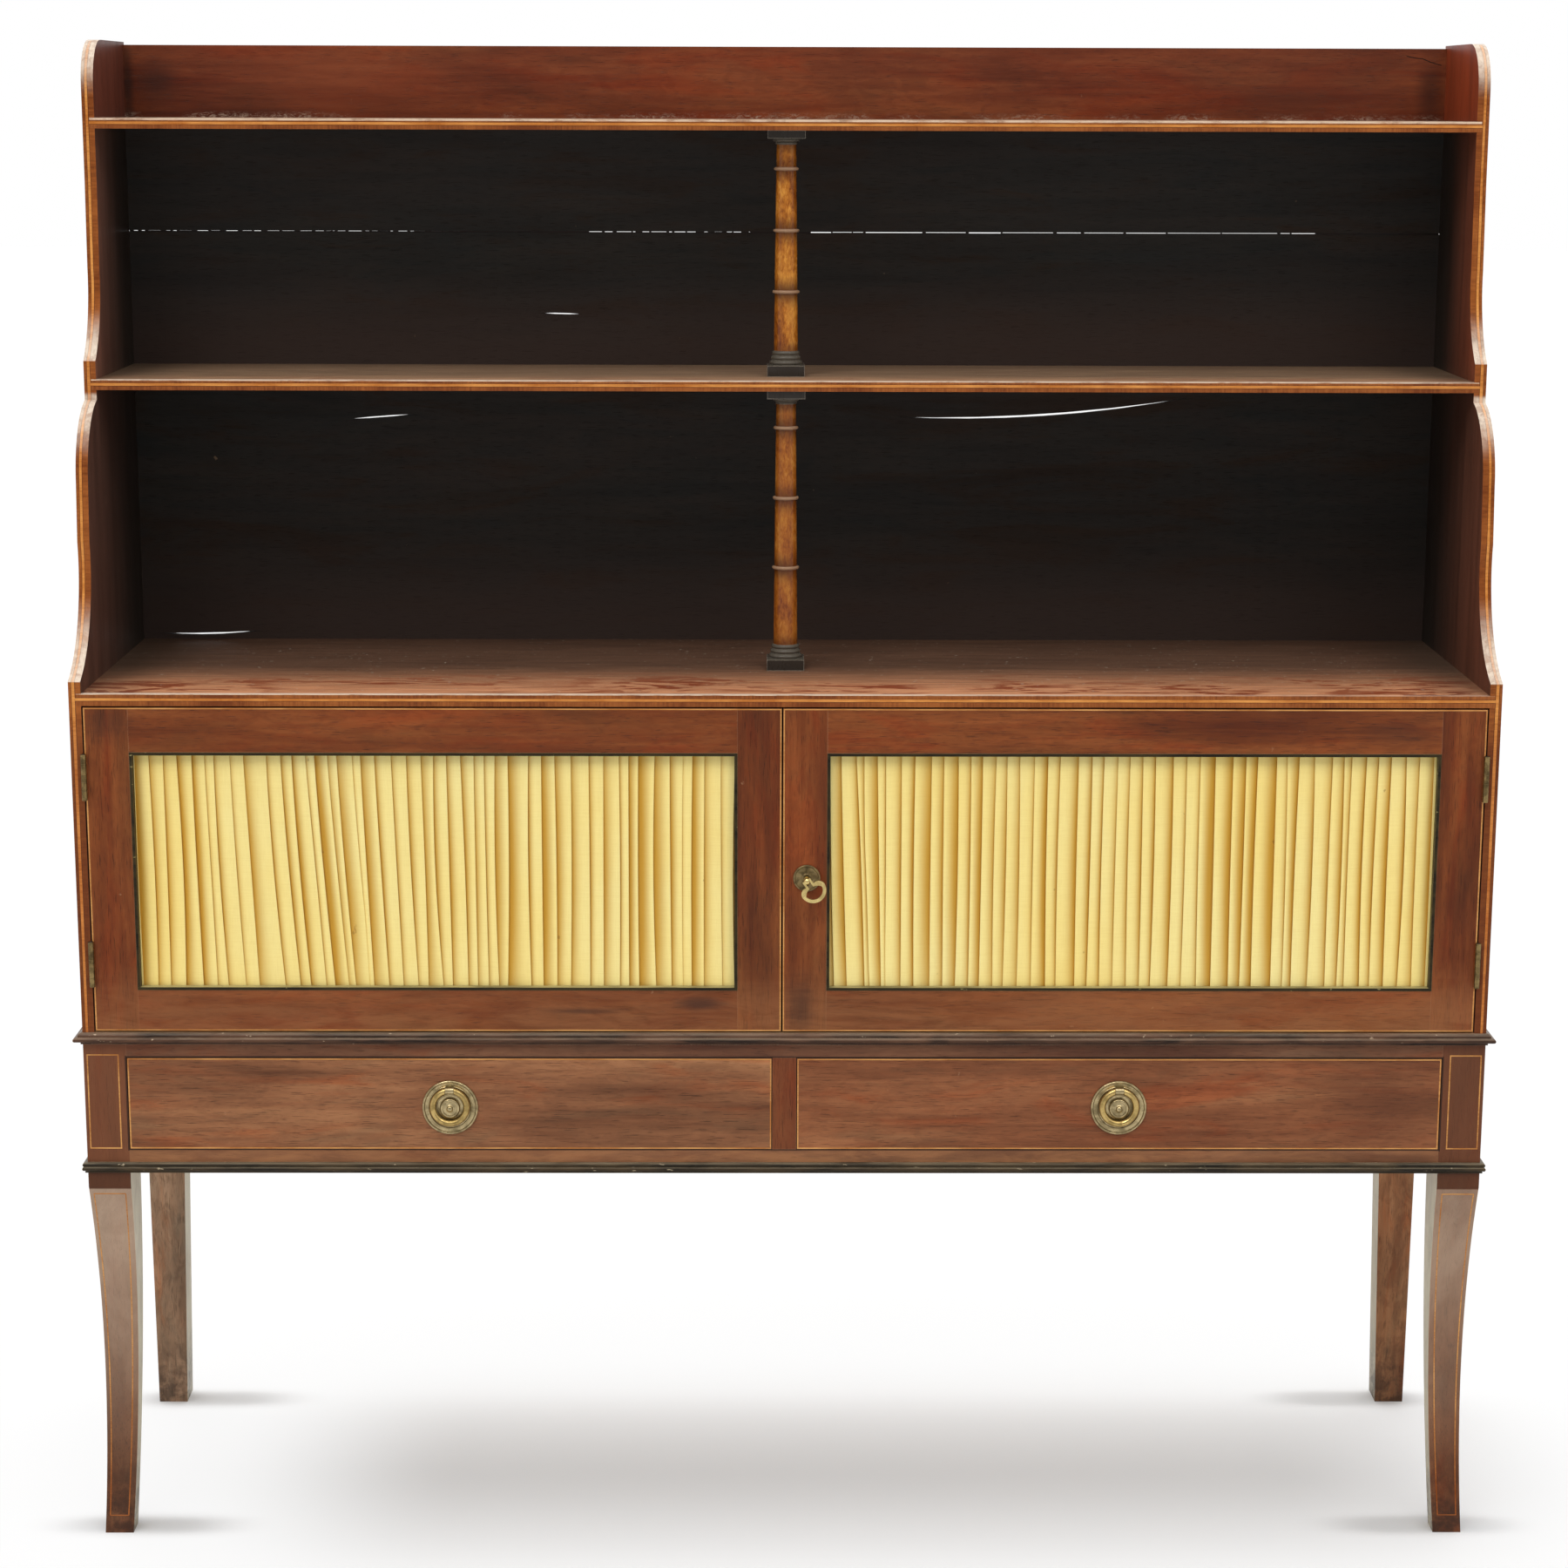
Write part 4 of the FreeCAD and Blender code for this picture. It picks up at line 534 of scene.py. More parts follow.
# painted shadows beside the drawers' gaps, on the rails and on the legs
RAIL_GAP_SHADOWS = (("Z", OPENING_HIGH + 0.5 * MM), ("Z", OPENING_LOW - 0.5 * MM))
LEG_GAP_SHADOWS = (("X", OPENING_END + 0.7 * MM),)


def gap_shadowed(finish, gap_shadows):
    """A finish with painted shadows beside the drawers' gaps: each is an axis and where it crosses it."""
    def both(paint):
        finish(paint)
        level = paint.band(paint.z, OPENING_LOW - 2.0 * MM, OPENING_LOW - 1.5 * MM,
                           OPENING_HIGH + 1.5 * MM, OPENING_HIGH + 2.0 * MM)
        for letter, at in gap_shadows:
            place = {"X": paint.x, "Z": paint.z}[letter]
            off = paint.off(paint.math("ABSOLUTE", place), at)
            # a painted shadow along the gap
            gap_shadow = paint.times(paint.falling(off, 0.5 * MM, 1.0 * MM, 0.8), level)
            paint.coat(gap_shadow, rgb(26, 16, 12))
    return both


def faded_below(bottom, top, share, tone, *marks):
    """A front that the light has faded towards its foot, with its smudges."""
    def finish(paint):
        cloud = paint.cloud(((12, 12, 60), 5, 0.65, 0.6, 71), 0.34, 0.64, 0.35, 1.0)
        level = paint.falling(paint.z, bottom, top, share)
        paint.coat(paint.times(level, cloud), tone)
        marked(*marks)(paint)
    return finish


GALLERY_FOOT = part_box("top_shelf")[1].z
# the dark marks at x -0.655, -0.684 and 0.672 are painted shade in the corners beside the sides
GALLERY_MARKS = (
    (-0.47, 1.447, 0.16, 0.05, 0.4, rgb(150, 78, 46)), (-0.655, 1.447, 0.030, 0.030, 0.55, SOOT_AND_SHADE),
    (-0.684, 1.44, 0.008, 0.06, 0.7, SOOT_AND_SHADE), (0.672, 1.44, 0.018, 0.05, 0.6, SOOT_AND_SHADE),
    (0.56, 1.44, 0.14, 0.06, 0.45, rgb(88, 46, 30)),
)


def gallery_finish(paint):
    """Smudges at the ends of the gallery, with painted shade in its corners beside the sides, and dust along
    its foot.
    """
    marked(*GALLERY_MARKS)(paint)
    scuff = paint.cloud(((170, 90, 420), 5, 0.75, 0.8, 61), 0.46, 0.64, 0.0, 0.9)
    here = paint.cloud((9, 4, 0.6, 0.5, 63), 0.42, 0.60)
    foot = paint.falling(paint.z, GALLERY_FOOT, GALLERY_FOOT + 7.9 * MM)
    front = paint.falling(paint.face_y, -0.9, -0.5)
    paint.coat(paint.times(scuff, here, foot, front), rgb(180, 156, 136))


def banding(paint, letter, shift):
    """Cross-grained banding along an edge, its grain across the edge's run."""
    grain = paint.noise(along(letter, 420, 40), 4, 0.65, 0.3, shift)
    cloud = paint.noise(14, 4, 0.6, 0.4, shift + 2)
    return paint.tones(paint.total((grain, 0.4), (cloud, 0.6)), (0.40, BAND_DARK), (0.60, BAND_LIGHT))


def shelf_finish(paint, front_y, top_z, near, far, fade, smeared, arris, right_wear_and_highlight):
    """A shelf's top, paler at the front and dark at the back, with a painted highlight along its front arris
    and a banded front edge:
    near and far are its tones, arris the width of the painted highlight on the edge and
    right_wear_and_highlight what is left of the highlights at the right."""
    behind = paint.math("SUBTRACT", paint.y, front_y)
    grain = paint.noise((12, 150, 12), 5, 0.6, 0.5, 33)
    top = paint.mix(paint.between(behind, 0.0, fade), near, far)
    top = paint.mix(paint.falling(grain, 0.36, 0.64, 0.32), top, SOOT_AND_SHADE)
    smear = paint.noise((9.0, 34, 9.0), 4, 0.6, 2.4, 37)
    front_part = paint.falling(behind, 0.3 * fade, 0.8 * fade, smeared)
    here = paint.cloud((5.5, 3, 0.6, 0.4, 38), 0.40, 0.56, 0.15, 1.0)
    share = paint.times(paint.between(smear, 0.49, 0.55), front_part, here)
    top = paint.mix(share, top, rgb(124, 48, 20))
    speck = paint.cloud((150, 3, 0.7, 0.0, 39), 0.64, 0.72, 0.0, 0.7)
    top = paint.mix(speck, top, rgb(190, 176, 156))
    ends = paint.between(paint.math("ABSOLUTE", paint.x), 0.60, 0.688, 0.0, 0.45)
    top = paint.mix(ends, top, rgb(70, 62, 52))
    # less of the painted highlights towards the right
    worn_and_highlit = paint.between(paint.x, -0.1, 0.5, 1.0, right_wear_and_highlight)
    # a painted highlight along the front of the top
    top = paint.mix(paint.times(paint.falling(behind, 3 * MM, 8 * MM, 0.85), worn_and_highlit), top, SHEEN_CREAM)
    on_edge = paint.falling(paint.face_y, -0.7, -0.5)
    paint.coat(on_edge, banding(paint, "X", 3.0))
    # a painted highlight at the top of the front edge, clouded
    rub = paint.cloud(((30, 30, 90), 5, 0.7, 0.4, 35), 0.34, 0.56, 0.35, 1.0)
    rounded = paint.between(paint.z, top_z - arris, top_z - 0.6 * arris, 0.0, 0.85)
    paint.coat(paint.times(rounded, rub, worn_and_highlit), rgb(240, 214, 186))
    paint.coat(paint.between(paint.face_z, 0.5, 0.7), top)


def side_finish(paint, inner, upper, above):
    """A side: banded front edge with a painted pale sheen where it turns up, and an inner face painted
    darker towards the back as painted shade, in one tone in the lower bay, one in the upper bay and one above
    the top shelf."""
    # painted shade: the inner face darker towards the back
    depth = paint.between(paint.y, -0.08, 0.16)
    height = paint.z
    tone = paint.mix(paint.between(height, *BAY_CHANGE), inner, upper)
    tone = paint.mix(depth, tone, rgb(56, 49, 43))
    tone = paint.mix(paint.between(height, *TOP_CHANGE), tone, above)
    grain = paint.noise((40, 40, 3), 5, 0.65, 0.5, 43)
    tone = paint.mix(paint.falling(grain, 0.36, 0.64, 0.35), tone, rgb(34, 24, 20))
    scratch = paint.cloud(((220, 220, 30), 4, 0.7, 0.6, 47), 0.66, 0.74, 0.0, 0.3)
    tone = paint.mix(scratch, tone, rgb(150, 122, 104))
    paint.coat(paint.inward(), tone)
    on_edge = paint.falling(paint.math("ABSOLUTE", paint.face_x), 0.3, 0.7)
    # a painted sheen, pale, where the front edge turns up
    edge = paint.mix(paint.times(turned_up(paint), 0.92), banding(paint, "Z", 5.0), SHEEN_CREAM)
    edge = paint.mix(paint.falling(height, *EDGE_FOOT, 0.6), edge, rgb(92, 44, 24))
    paint.coat(on_edge, edge)


def leg_bloom_and_painted_light(paint):
    """The pale, bloomed old polish below the block of a front leg, partly a painted reflection, less of it
    towards the foot, and a painted shadow just under the lower moulding.
    """
    height = paint.z
    under = paint.falling(height, 0.3545, 0.3565)
    fading = paint.between(height, 0.03, 0.345, 0.02, 0.82)
    front = paint.falling(paint.face_y, -0.95, -0.6)
    cloud = paint.cloud(((16, 16, 9), 5, 0.65, 0.6, 41), 0.3, 0.68, 0.62, 1.0)
    less = paint.between(paint.x, *LEFT_TO_RIGHT, 1.0, 0.76)
    # pale: bloomed polish, and a painted reflection of the floor on the face that tilts down
    paint.coat(paint.times(under, fading, front, cloud, less), rgb(200, 174, 150))
    block = paint.between(height, BLOCK_LOW, BLOCK_LOW + 0.5 * MM)
    paint.coat(paint.times(block, 0.4), rgb(138, 84, 56))
    right = paint.between(paint.x, *LEFT_TO_RIGHT, 0.0, 0.5)
    paint.coat(paint.times(block, right), RED_SHADE)
    # a painted shadow just under the lower moulding
    shade = paint.times(paint.band(height, 0.3555, 0.3565, 0.373, 0.374), 0.7)
    paint.coat(shade, rgb(84, 50, 32))
    leg_sides_reflection_and_soot(paint)


def leg_sides_reflection_and_soot(paint):
    """The sides of the legs that face each other, pale with a scuffed painted reflection, and the feet,
    sooty.
    """
    height = paint.z
    cloud = paint.cloud(((30, 30, 14), 5, 0.7, 0.6, 44), 0.3, 0.62, 0.72, 0.98)
    below = paint.falling(height, BLOCK_LOW - 1.5 * MM, BLOCK_LOW - 0.5 * MM)
    # a painted reflection on the sides of the legs that face each other
    paint.coat(paint.times(paint.inward(), cloud, below), PAINTED_REFLECTION)
    foot = paint.falling(height, 0.0, 0.11, 0.75)
    scuffed = paint.cloud(((50, 50, 60), 4, 0.65, 0.3, 46), 0.34, 0.6, 0.3, 1.0)
    paint.coat(paint.times(foot, scuffed), SOOT_AND_SHADE)


COLUMN_BASE = (11.0 * MM, 25.5 * MM)       # above a column's foot: the base's steps and its moulding
COLUMN_NECK = (14.1 * MM, 8.0 * MM)        # and below its top: the moulding and the cap's steps
RING_EVERY = 0.25                          # of a column's height


def column_wood(node, first_ring, shift, redder):
    """A golden mottled shaft with pale rings, between a dark stepped base and a dark cap; painted shade
    beside the rings, the base and the cap, and painted highlights on the arrises of the base and the cap.
    """
    low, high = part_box(node)
    base_low, base_high = (low.z + up for up in COLUMN_BASE)
    neck_low, neck_high = (high.z - down for down in COLUMN_NECK)
    paint = Paint(f"{node}_wood", 0.24, 0.25)
    height = paint.z
    fine = paint.noise((420, 420, 160), 4, 0.65, 0.5, shift)
    cloud = paint.noise((60, 60, 22), 4, 0.6, 0.4, shift + 3)
    paint.colour = paint.tones(paint.total((fine, 0.45), (cloud, 0.55)), (0.38, rgb(122, 60, 14)),
                               (0.5, rgb(178, 106, 32)), (0.62, rgb(214, 146, 58)))
    paint.coat(redder, rgb(122, 58, 24))
    # painted shade: darker beside each ring and beside the base and the cap
    shade_near_rings, on_ring = 0.0, 0.0
    for k in range(3):
        ring = low.z + (high.z - low.z) * (first_ring + RING_EVERY * k)
        off = paint.off(height, ring)
        shade_near_rings = paint.most(shade_near_rings, paint.falling(off, 1.5 * MM, 19 * MM, 0.85))
        on_ring = paint.most(on_ring, paint.falling(off, 1.7 * MM, 2.0 * MM))
    for end, way in ((base_high, 1), (neck_low, -1)):
        off = paint.times(paint.math("SUBTRACT", height, end), way)
        shade_near_rings = paint.most(shade_near_rings, paint.falling(off, 0.0, 14 * MM, 0.7))
    shade_near_rings = paint.times(shade_near_rings, paint.between(cloud, 0.3, 0.6, 0.6, 1.0))
    paint.coat(shade_near_rings, rgb(74, 34, 12))
    paint.coat(on_ring, rgb(156, 122, 94))
    mouldings = paint.most(paint.falling(height, base_high - 0.2 * MM, base_high),
                           paint.between(height, neck_low - 0.1 * MM, neck_low))
    steps = paint.most(paint.falling(height, base_low - 0.2 * MM, base_low),
                       paint.between(height, neck_high, neck_high + 0.2 * MM))
    # painted highlights along the arrises of the base and the cap
    arris = paint.times(paint.edges(1.1 * MM, 0.02, 0.16), 0.85)
    black = paint.mix(arris, rgb(52, 46, 40), rgb(176, 166, 150))
    paint.coat(mouldings, paint.mix(0.4, black, rgb(120, 112, 98)))
    paint.coat(steps, black)
    paint.bump(fine, 0.06 * MM)
    return paint.finish(paint.between(cloud, 0.3, 0.7, 0.18, 0.32))


def dress_doors():
    warm = rgb(152, 98, 60)
    left = faded_below(0.525, 0.60, 0.62, warm, (-0.664, 0.832, 0.030, 0.026, 0.4, SOOT_AND_SHADE),
                       (-0.085, 0.549, 0.030, 0.010, 0.6, SOOT_AND_SHADE), (-0.20, 0.541, 0.05, 0.004, 0.5, SOOT_AND_SHADE))
    right = faded_below(0.525, 0.60, 0.66, warm, (0.016, 0.547, 0.018, 0.036, 0.55, SOOT_AND_SHADE),
                        (0.60, 0.825, 0.05, 0.02, 0.35, SOOT_AND_SHADE))
    for side, finish, shift in (("left", left, 0.0), ("right", right, 5.0)):
        for part, axis, own_shift in (("rail", "X", 1.0), ("stile", "Z", 2.5)):
            material = wood(f"{side}_{part}_wood", axis, *DOOR_TONES, shift=own_shift + shift, extra=finish)
            dress(material, f"{side}_door_{part}s")


def dress_shelves():
    for name, near, far, fade, smeared, arris, right_wear_and_highlight in (
            ("counter_shelf", rgb(216, 150, 108), rgb(110, 80, 62), 0.180, 0.85, 0.9 * MM, 0.25),
            ("middle_shelf", rgb(188, 144, 110), rgb(150, 120, 94), 0.080, 0.3, 1.4 * MM, 1.0),
            ("top_shelf", rgb(190, 150, 120), rgb(150, 120, 96), 0.060, 0.2, 2.6 * MM, 1.0)):
        low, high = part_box(name)
        dress(wood(f"{name}_wood", "X", *CARCASE_TONES, shift=5.0 + fade, edge_wear_and_highlight=0.3, extra=lambda paint:
                   shelf_finish(paint, low.y, high.z, near, far, fade, smeared, arris, right_wear_and_highlight)), name)


def dress_case():
    dress(wood("gallery_wood", "X", *GALLERY_TONES, shift=3.0, stained=0.35, extra=gallery_finish),
          "gallery_board")
    for name, node, shift, tones in (
            ("side_wood", "side_left", 4.0, (rgb(110, 76, 63), rgb(160, 108, 90), rgb(110, 60, 46))),
            ("side_wood_right", "side_right", 4.7, (rgb(122, 76, 58), rgb(176, 94, 64), rgb(156, 68, 38)))):
        dress(wood(name, "Z", *CARCASE_TONES, shift=shift, edge_wear_and_highlight=0.3, specular=0.12,
                   extra=lambda paint: side_finish(paint, *tones)), node)
    dress(wood("back_board_wood", "X", *BACK_TONES, shift=13.0, stained=0.1, gloss=0.62, specular=0.08,
               edge_wear_and_highlight=0, pores=0.3, mottled=0.15, extra=board_by_board), "back_boards")
    dress(column_wood("upper_column", 0.345, 1.0, 0.0), "upper_column")
    dress(column_wood("lower_column", 0.366, 2.0, 0.35), "lower_column")


def dress_stand():
    rails = faded_below(0.385, 0.42, 0.9, rgb(162, 110, 72), (0.60, 0.386, 0.16, 0.012, 0.6, RED_SHADE))
    dress(wood("frieze_wood", "X", *RAIL_TONES, shift=8.0, stained=0.3, extra=gap_shadowed(rails, RAIL_GAP_SHADOWS)),
          "frieze_rails", "side_rails")
    dress(wood("drawer_wood", "X", *FRIEZE_TONES, shift=9.0, stained=0.22), "left_drawer_front")
    dress(wood("drawer_wood_right", "X", *RIGHT_TONES, shift=9.6, stained=0.3,
               extra=marked((0.60, 0.45, 0.10, 0.07, 0.5, RED_SHADE))), "right_drawer_front")
    dress(wood("divider_wood", "Z", *DIVIDER_TONES, shift=10.0, stained=0.3), "drawer_divider")
    dress(wood("leg_wood", "Z", *LEG_TONES, shift=11.0, stained=0.3, extra=gap_shadowed(leg_bloom_and_painted_light, LEG_GAP_SHADOWS)),
          "front_leg_left", "front_leg_right")
    for name, node, tones, shift, stained in (
            ("back_leg_wood", "back_leg_left", BACK_LEG_TONES, 12.0, 0.45),
            ("back_leg_wood_right", "back_leg_right", RIGHT_LEG_TONES, 12.6, 0.4)):
        dress(wood(name, "Z", *tones, shift=shift, stained=stained, mottled=0.6, hues=0.9,
                   extra=leg_sides_reflection_and_soot), node)


def dress_fittings():
    dress(wood("oak", "Y", *OAK_TONES, shift=14.0, gloss=0.6, specular=0.15, edge_wear_and_highlight=0.1, pores=0.8),
          "left_drawer_box", "right_drawer_box", "drawer_runners", "drawer_guides", "drawer_kickers",
          "drawer_stops")
    dress(wood("deal", "X", *DEAL_TONES, shift=15.0, gloss=0.65, specular=0.15, edge_wear_and_highlight=0.1, pores=0.3),
          "left_drawer_bottom", "right_drawer_bottom", "back_rail", "cupboard_bottom",
          "left_door_battens", "right_door_battens")
    dress(ebonised("waist_black", rgb(46, 34, 28), rgb(96, 68, 52), rgb(214, 190, 160), 1.0, 0.85, 0.22),
          "waist_moulding")
    dress(ebonised("lower_black", rgb(40, 34, 26), rgb(76, 62, 44), rgb(200, 182, 150), 2.0, 0.8, 0.25),
          "lower_moulding")
    dress(ebonised("bead_black", rgb(34, 28, 16), rgb(60, 50, 28), rgb(176, 164, 112), 3.0, 0.35, 1.0),
          "left_door_bead", "right_door_bead")
    dress(metal("brass", rgb(206, 186, 142), rgb(104, 90, 60), 1.0, 0.75),
          "left_pull_plate", "right_pull_plate", "left_pull_bolt", "right_pull_bolt",
          "left_door_bolt_plates", "left_door_top_bolt", "left_door_bottom_bolt", "strike_plate", "lock_bolt")
    dress(metal("hinge_brass", rgb(158, 134, 88), rgb(66, 54, 36), 6.0, 0.85),
          "left_door_hinge_leaves", "right_door_hinge_leaves", "case_hinge_leaves")
    dress(metal("ring_brass", rgb(216, 186, 120), rgb(122, 100, 54), 2.0, 0.7, 0.26),
          "left_pull_ring", "right_pull_ring")
    dress(metal("key_brass", rgb(228, 204, 138), rgb(146, 122, 68), 3.0, 0.55), "key", "key_bow")
    dress(metal("escutcheon_brass", rgb(168, 146, 102), rgb(74, 62, 42), 4.0, 0.85, 0.34), "escutcheon")
    dress(metal("steel", rgb(150, 148, 144), rgb(84, 76, 68), 5.0, 0.7, 0.4), "lock_case", "hinge_pins")


# ------------------------------------------------------------------ inlaid lines

def new_piece(name, body, verts, faces, material, smooth=False):
    """A mesh that rides a body of the CAD model."""
    mesh = bpy.data.meshes.new(name)
    mesh.from_pydata([tuple(v) for v in verts], [], faces)
    mesh.validate()
    mesh.update()
    piece = add_object(name, mesh)
    mesh.materials.append(material)
    mesh.polygons.foreach_set("use_smooth", [smooth] * len(mesh.polygons))
    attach(piece, body)
    return piece


PROUD = 0.14 * MM          # how far an inlaid line stands out, just enough to show
SUNK = 0.5 * MM            # and how deep it is let in


def ribbons(name, body, material, lines, proud=PROUD):
    """Lines let into a surface. Each line is (points, normal at a point, width, closed)."""
    verts, faces = [], []
    for points, normal, width, closed in lines:
        start, count = len(verts), len(points)
        for i, point in enumerate(points):
            before = points[i - 1] if i or closed else point
            after = points[(i + 1) % count] if i + 1 < count or closed else point
            run_in = (point - before).normalized()
            run_out = (after - point).normalized()
            tangent = (run_in + run_out).normalized()
            out = normal(tangent)
            side = tangent.cross(out).normalized()
            reach = 1 / max(0.5, tangent.dot(run_out if after is not point else run_in))
            half = side * width / 2 * reach
            verts += [point - half - out * SUNK, point - half + out * proud,
                      point + half + out * proud, point + half - out * SUNK]
        for i in range(count if closed else count - 1):
            a, b = start + 4 * i, start + 4 * ((i + 1) % count)
            faces += [(a + k, b + k, b + (k + 1) % 4, a + (k + 1) % 4) for k in range(4)]
        if not closed:
            last = start + 4 * (count - 1)
            faces += [(start, start + 1, start + 2, start + 3), (last + 3, last + 2, last + 1, last)]
    return new_piece(name, body, verts, faces, material)


def to_front(tangent):
    return FRONT


def outward(tangent):
    """The front side of a line that climbs in the YZ plane."""
    out = RIGHT.cross(tangent).normalized()
    return out if tangent.z > 0 else -out


def rectangle(low_x, high_x, low_z, high_z, y):
    return [Vector((low_x, y, low_z)), Vector((high_x, y, low_z)),
            Vector((high_x, y, high_z)), Vector((low_x, y, high_z))]


SIDE_LINE_IN = 4.7 * MM    # the middle of the line on a side's front edge, from the outer face
SIDE_LINE_WIDTH = 2.6 * MM
EDGE_LINE_WIDTH = 2.7 * MM
EDGE_LINE_UP = 0.54        # where the line on a shelf's edge lies, of the shelf's thickness
DARK_MARGIN = 0.4 * MM     # the dark line on both sides of a pale one
LINE_TOP = 1.4855          # the sides' lines stop here, where the rounded corner hides them
LINE_FOOT = 0.2 * MM       # and start so far above the waist moulding


def side_path(name, x):
    """The front outline of a side, from the waist up and over the round corner, at x."""
    low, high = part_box(name)
    outer = low.x if x < 0 else high.x
    front = {}
    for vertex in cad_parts[name].data.vertices:
        co = vertex.co
        if abs(co.x - outer) < 1e-5 and co.z < LINE_TOP:
            level = round(co.z, 5)
            front[level] = min(front.get(level, 1.0), co.y)
    path = [Vector((x, y, z)) for z, y in sorted(front.items())]
    path[0].z += LINE_FOOT
    return path


def edge_line(name, path, normal, width, orange, dark):
    """An orange line with a dark one that shows on both sides of it."""
    wide = width + 2 * DARK_MARGIN
    ribbons(f"{name}_dark_line", "case", dark, [(path, normal, wide, False)], PROUD / 2)
    ribbons(f"{name}_line", "case", orange, [(path, normal, width, False)])


def make_edge_lines(orange, dark):
    """The lines on the front edges of the sides and the shelves."""
    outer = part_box("side_right")[1].x
    for name, sign in (("side_left", -1), ("side_right", 1)):
        path = side_path(name, sign * (outer - SIDE_LINE_IN))
        edge_line(name, path, outward, SIDE_LINE_WIDTH, orange, dark)
    reach = outer - SIDE_LINE_IN - SIDE_LINE_WIDTH / 2 - DARK_MARGIN
    for name in ("counter_shelf", "middle_shelf", "top_shelf"):
        low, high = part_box(name)
        z = low.z + EDGE_LINE_UP * (high.z - low.z)
        path = [Vector((-reach, low.y, z)), Vector((reach, low.y, z))]
        edge_line(name, path, to_front, EDGE_LINE_WIDTH, orange, dark)


THIN_LINE = 1.3 * MM
THIN_LINE_IN = 0.9 * MM    # its middle, from the edge of a door or a drawer front


def make_door_and_drawer_lines(pale):
    for side in ("left", "right"):
        for body, part in ((f"{side}_door", "stiles"), (f"{side}_drawer", "front")):
            low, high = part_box(f"{body}_{part}")
            loop = rectangle(low.x + THIN_LINE_IN, high.x - THIN_LINE_IN,
                             low.z + THIN_LINE_IN, high.z - THIN_LINE_IN, low.y)
            ribbons(f"{body}_line", body, pale, [(loop, to_front, THIN_LINE, True)])


def circle_through(*points):
    """The function that gives v for u on the arc through three (u, v) points."""
    a, b, c = (complex(*point) for point in points)
    turn = (c - a) / (b - a)
    centre = a + (b - a) * (turn - abs(turn) ** 2) / (2j * turn.imag)
    sign = 1 if b.imag > centre.imag else -1
    return lambda u: centre.imag + sign * math.sqrt(abs(a - centre) ** 2 - (u - centre.real) ** 2)


# a front leg's curves below the crease under its block: (z, y) of the face, (z, x) of the edges
LEG_FACE = circle_through((0.358, -0.157), (0.230, -0.144), (0.0, -0.190))
LEG_OUTER = circle_through((0.358, 0.700), (0.179, 0.69295), (0.0, 0.6905))
LEG_INNER = circle_through((0.358, 0.6575), (0.179, 0.65875), (0.0, 0.662))
LEG_STEPS = 24
LEG_LINE_LOW, LEG_LINE_HIGH = 16 * MM, 350 * MM
LEG_LINE_WIDTH = 1.1 * MM
BLOCK_LINE_LOW, BLOCK_LINE_HIGH = 398.5 * MM, 495.5 * MM
BLOCK_LINE_INNER, BLOCK_LINE_OUTER = 8.0 * MM, 3.8 * MM       # in from the block's edges


def make_leg_lines(pale):
    low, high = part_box("front_leg_right")
    block_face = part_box("frieze_rails")[0].y
    for side, sign in (("left", -1), ("right", 1)):
        across = sorted((sign * (low.x + BLOCK_LINE_INNER), sign * (high.x - BLOCK_LINE_OUTER)))
        block = rectangle(*across, BLOCK_LINE_LOW, BLOCK_LINE_HIGH, block_face)
        lines = [(block, to_front, THIN_LINE, True)]
        ends = {}
        for edge, inset in ((LEG_OUTER, -4.2 * MM), (LEG_INNER, 6.0 * MM)):
            path = []
            for step in range(LEG_STEPS + 1):
                z = LEG_LINE_LOW + (LEG_LINE_HIGH - LEG_LINE_LOW) * step / LEG_STEPS
                path.append(Vector((sign * (edge(z) + inset), LEG_FACE(z), z)))
            lines.append((path, outward, LEG_LINE_WIDTH, False))
            ends[inset] = path[0], path[-1]
        for outer_end, inner_end in zip(*ends.values()):
            lines.append(([outer_end, inner_end], to_front, LEG_LINE_WIDTH, False))
        ribbons(f"front_leg_{side}_lines", "case", pale, lines)


GAP_LOW, GAP_HIGH = 1293.05 * MM, 1294.35 * MM
GAP_FRONT, GAP_BACK = 183.5 * MM, 188.5 * MM
# the joint runs between these places, in millimetres. In its open stretches it opens and closes:
# where each starts and ends, the least and most of its open and of its closed parts, and the least
# and most of the joint's height that the lower board's fibres fill in an open part.
GAP_START, GAP_END = -688, 688
GAP_STRETCHES = (
    (-684, -338, (2, 14), (1, 7), (0.45, 0.85)), (-206, -37, (2, 16), (1.5, 9), (0.3, 0.75)),
    (27, 558, (8, 60), (1, 4), (0.05, 0.5)),
)


def make_joint_filler(material):
    """The places where the two boards at the open joint still touch, so light shows in dashes."""
    rng = random.Random(4)
    verts, faces = [], []

    def fill(low_x, high_x, top):
        a = len(verts)
        verts.extend(Vector((px * MM, py, pz)) for px in (low_x, high_x) for py in (GAP_FRONT, GAP_BACK)
                     for pz in (GAP_LOW, top))
        faces.extend([(a, a + 1, a + 3, a + 2), (a + 4, a + 6, a + 7, a + 5), (a, a + 4, a + 5, a + 1),
                      (a + 2, a + 3, a + 7, a + 6), (a, a + 2, a + 6, a + 4), (a + 1, a + 5, a + 7, a + 3)])

    x = GAP_START
    for start, end, opened, closed, filled in GAP_STRETCHES:
        fill(x, start, GAP_HIGH)
        x = start
        while x < end:
            shut = min(end, x + rng.uniform(*opened))
            fill(x, shut, GAP_LOW + (GAP_HIGH - GAP_LOW) * rng.uniform(*filled))
            x = min(end, shut + rng.uniform(*closed))
            if shut < x:
                fill(shut, x, GAP_HIGH)
    fill(x, GAP_END, GAP_HIGH)
    new_piece("back_joint_contacts", "case", verts, faces, material)


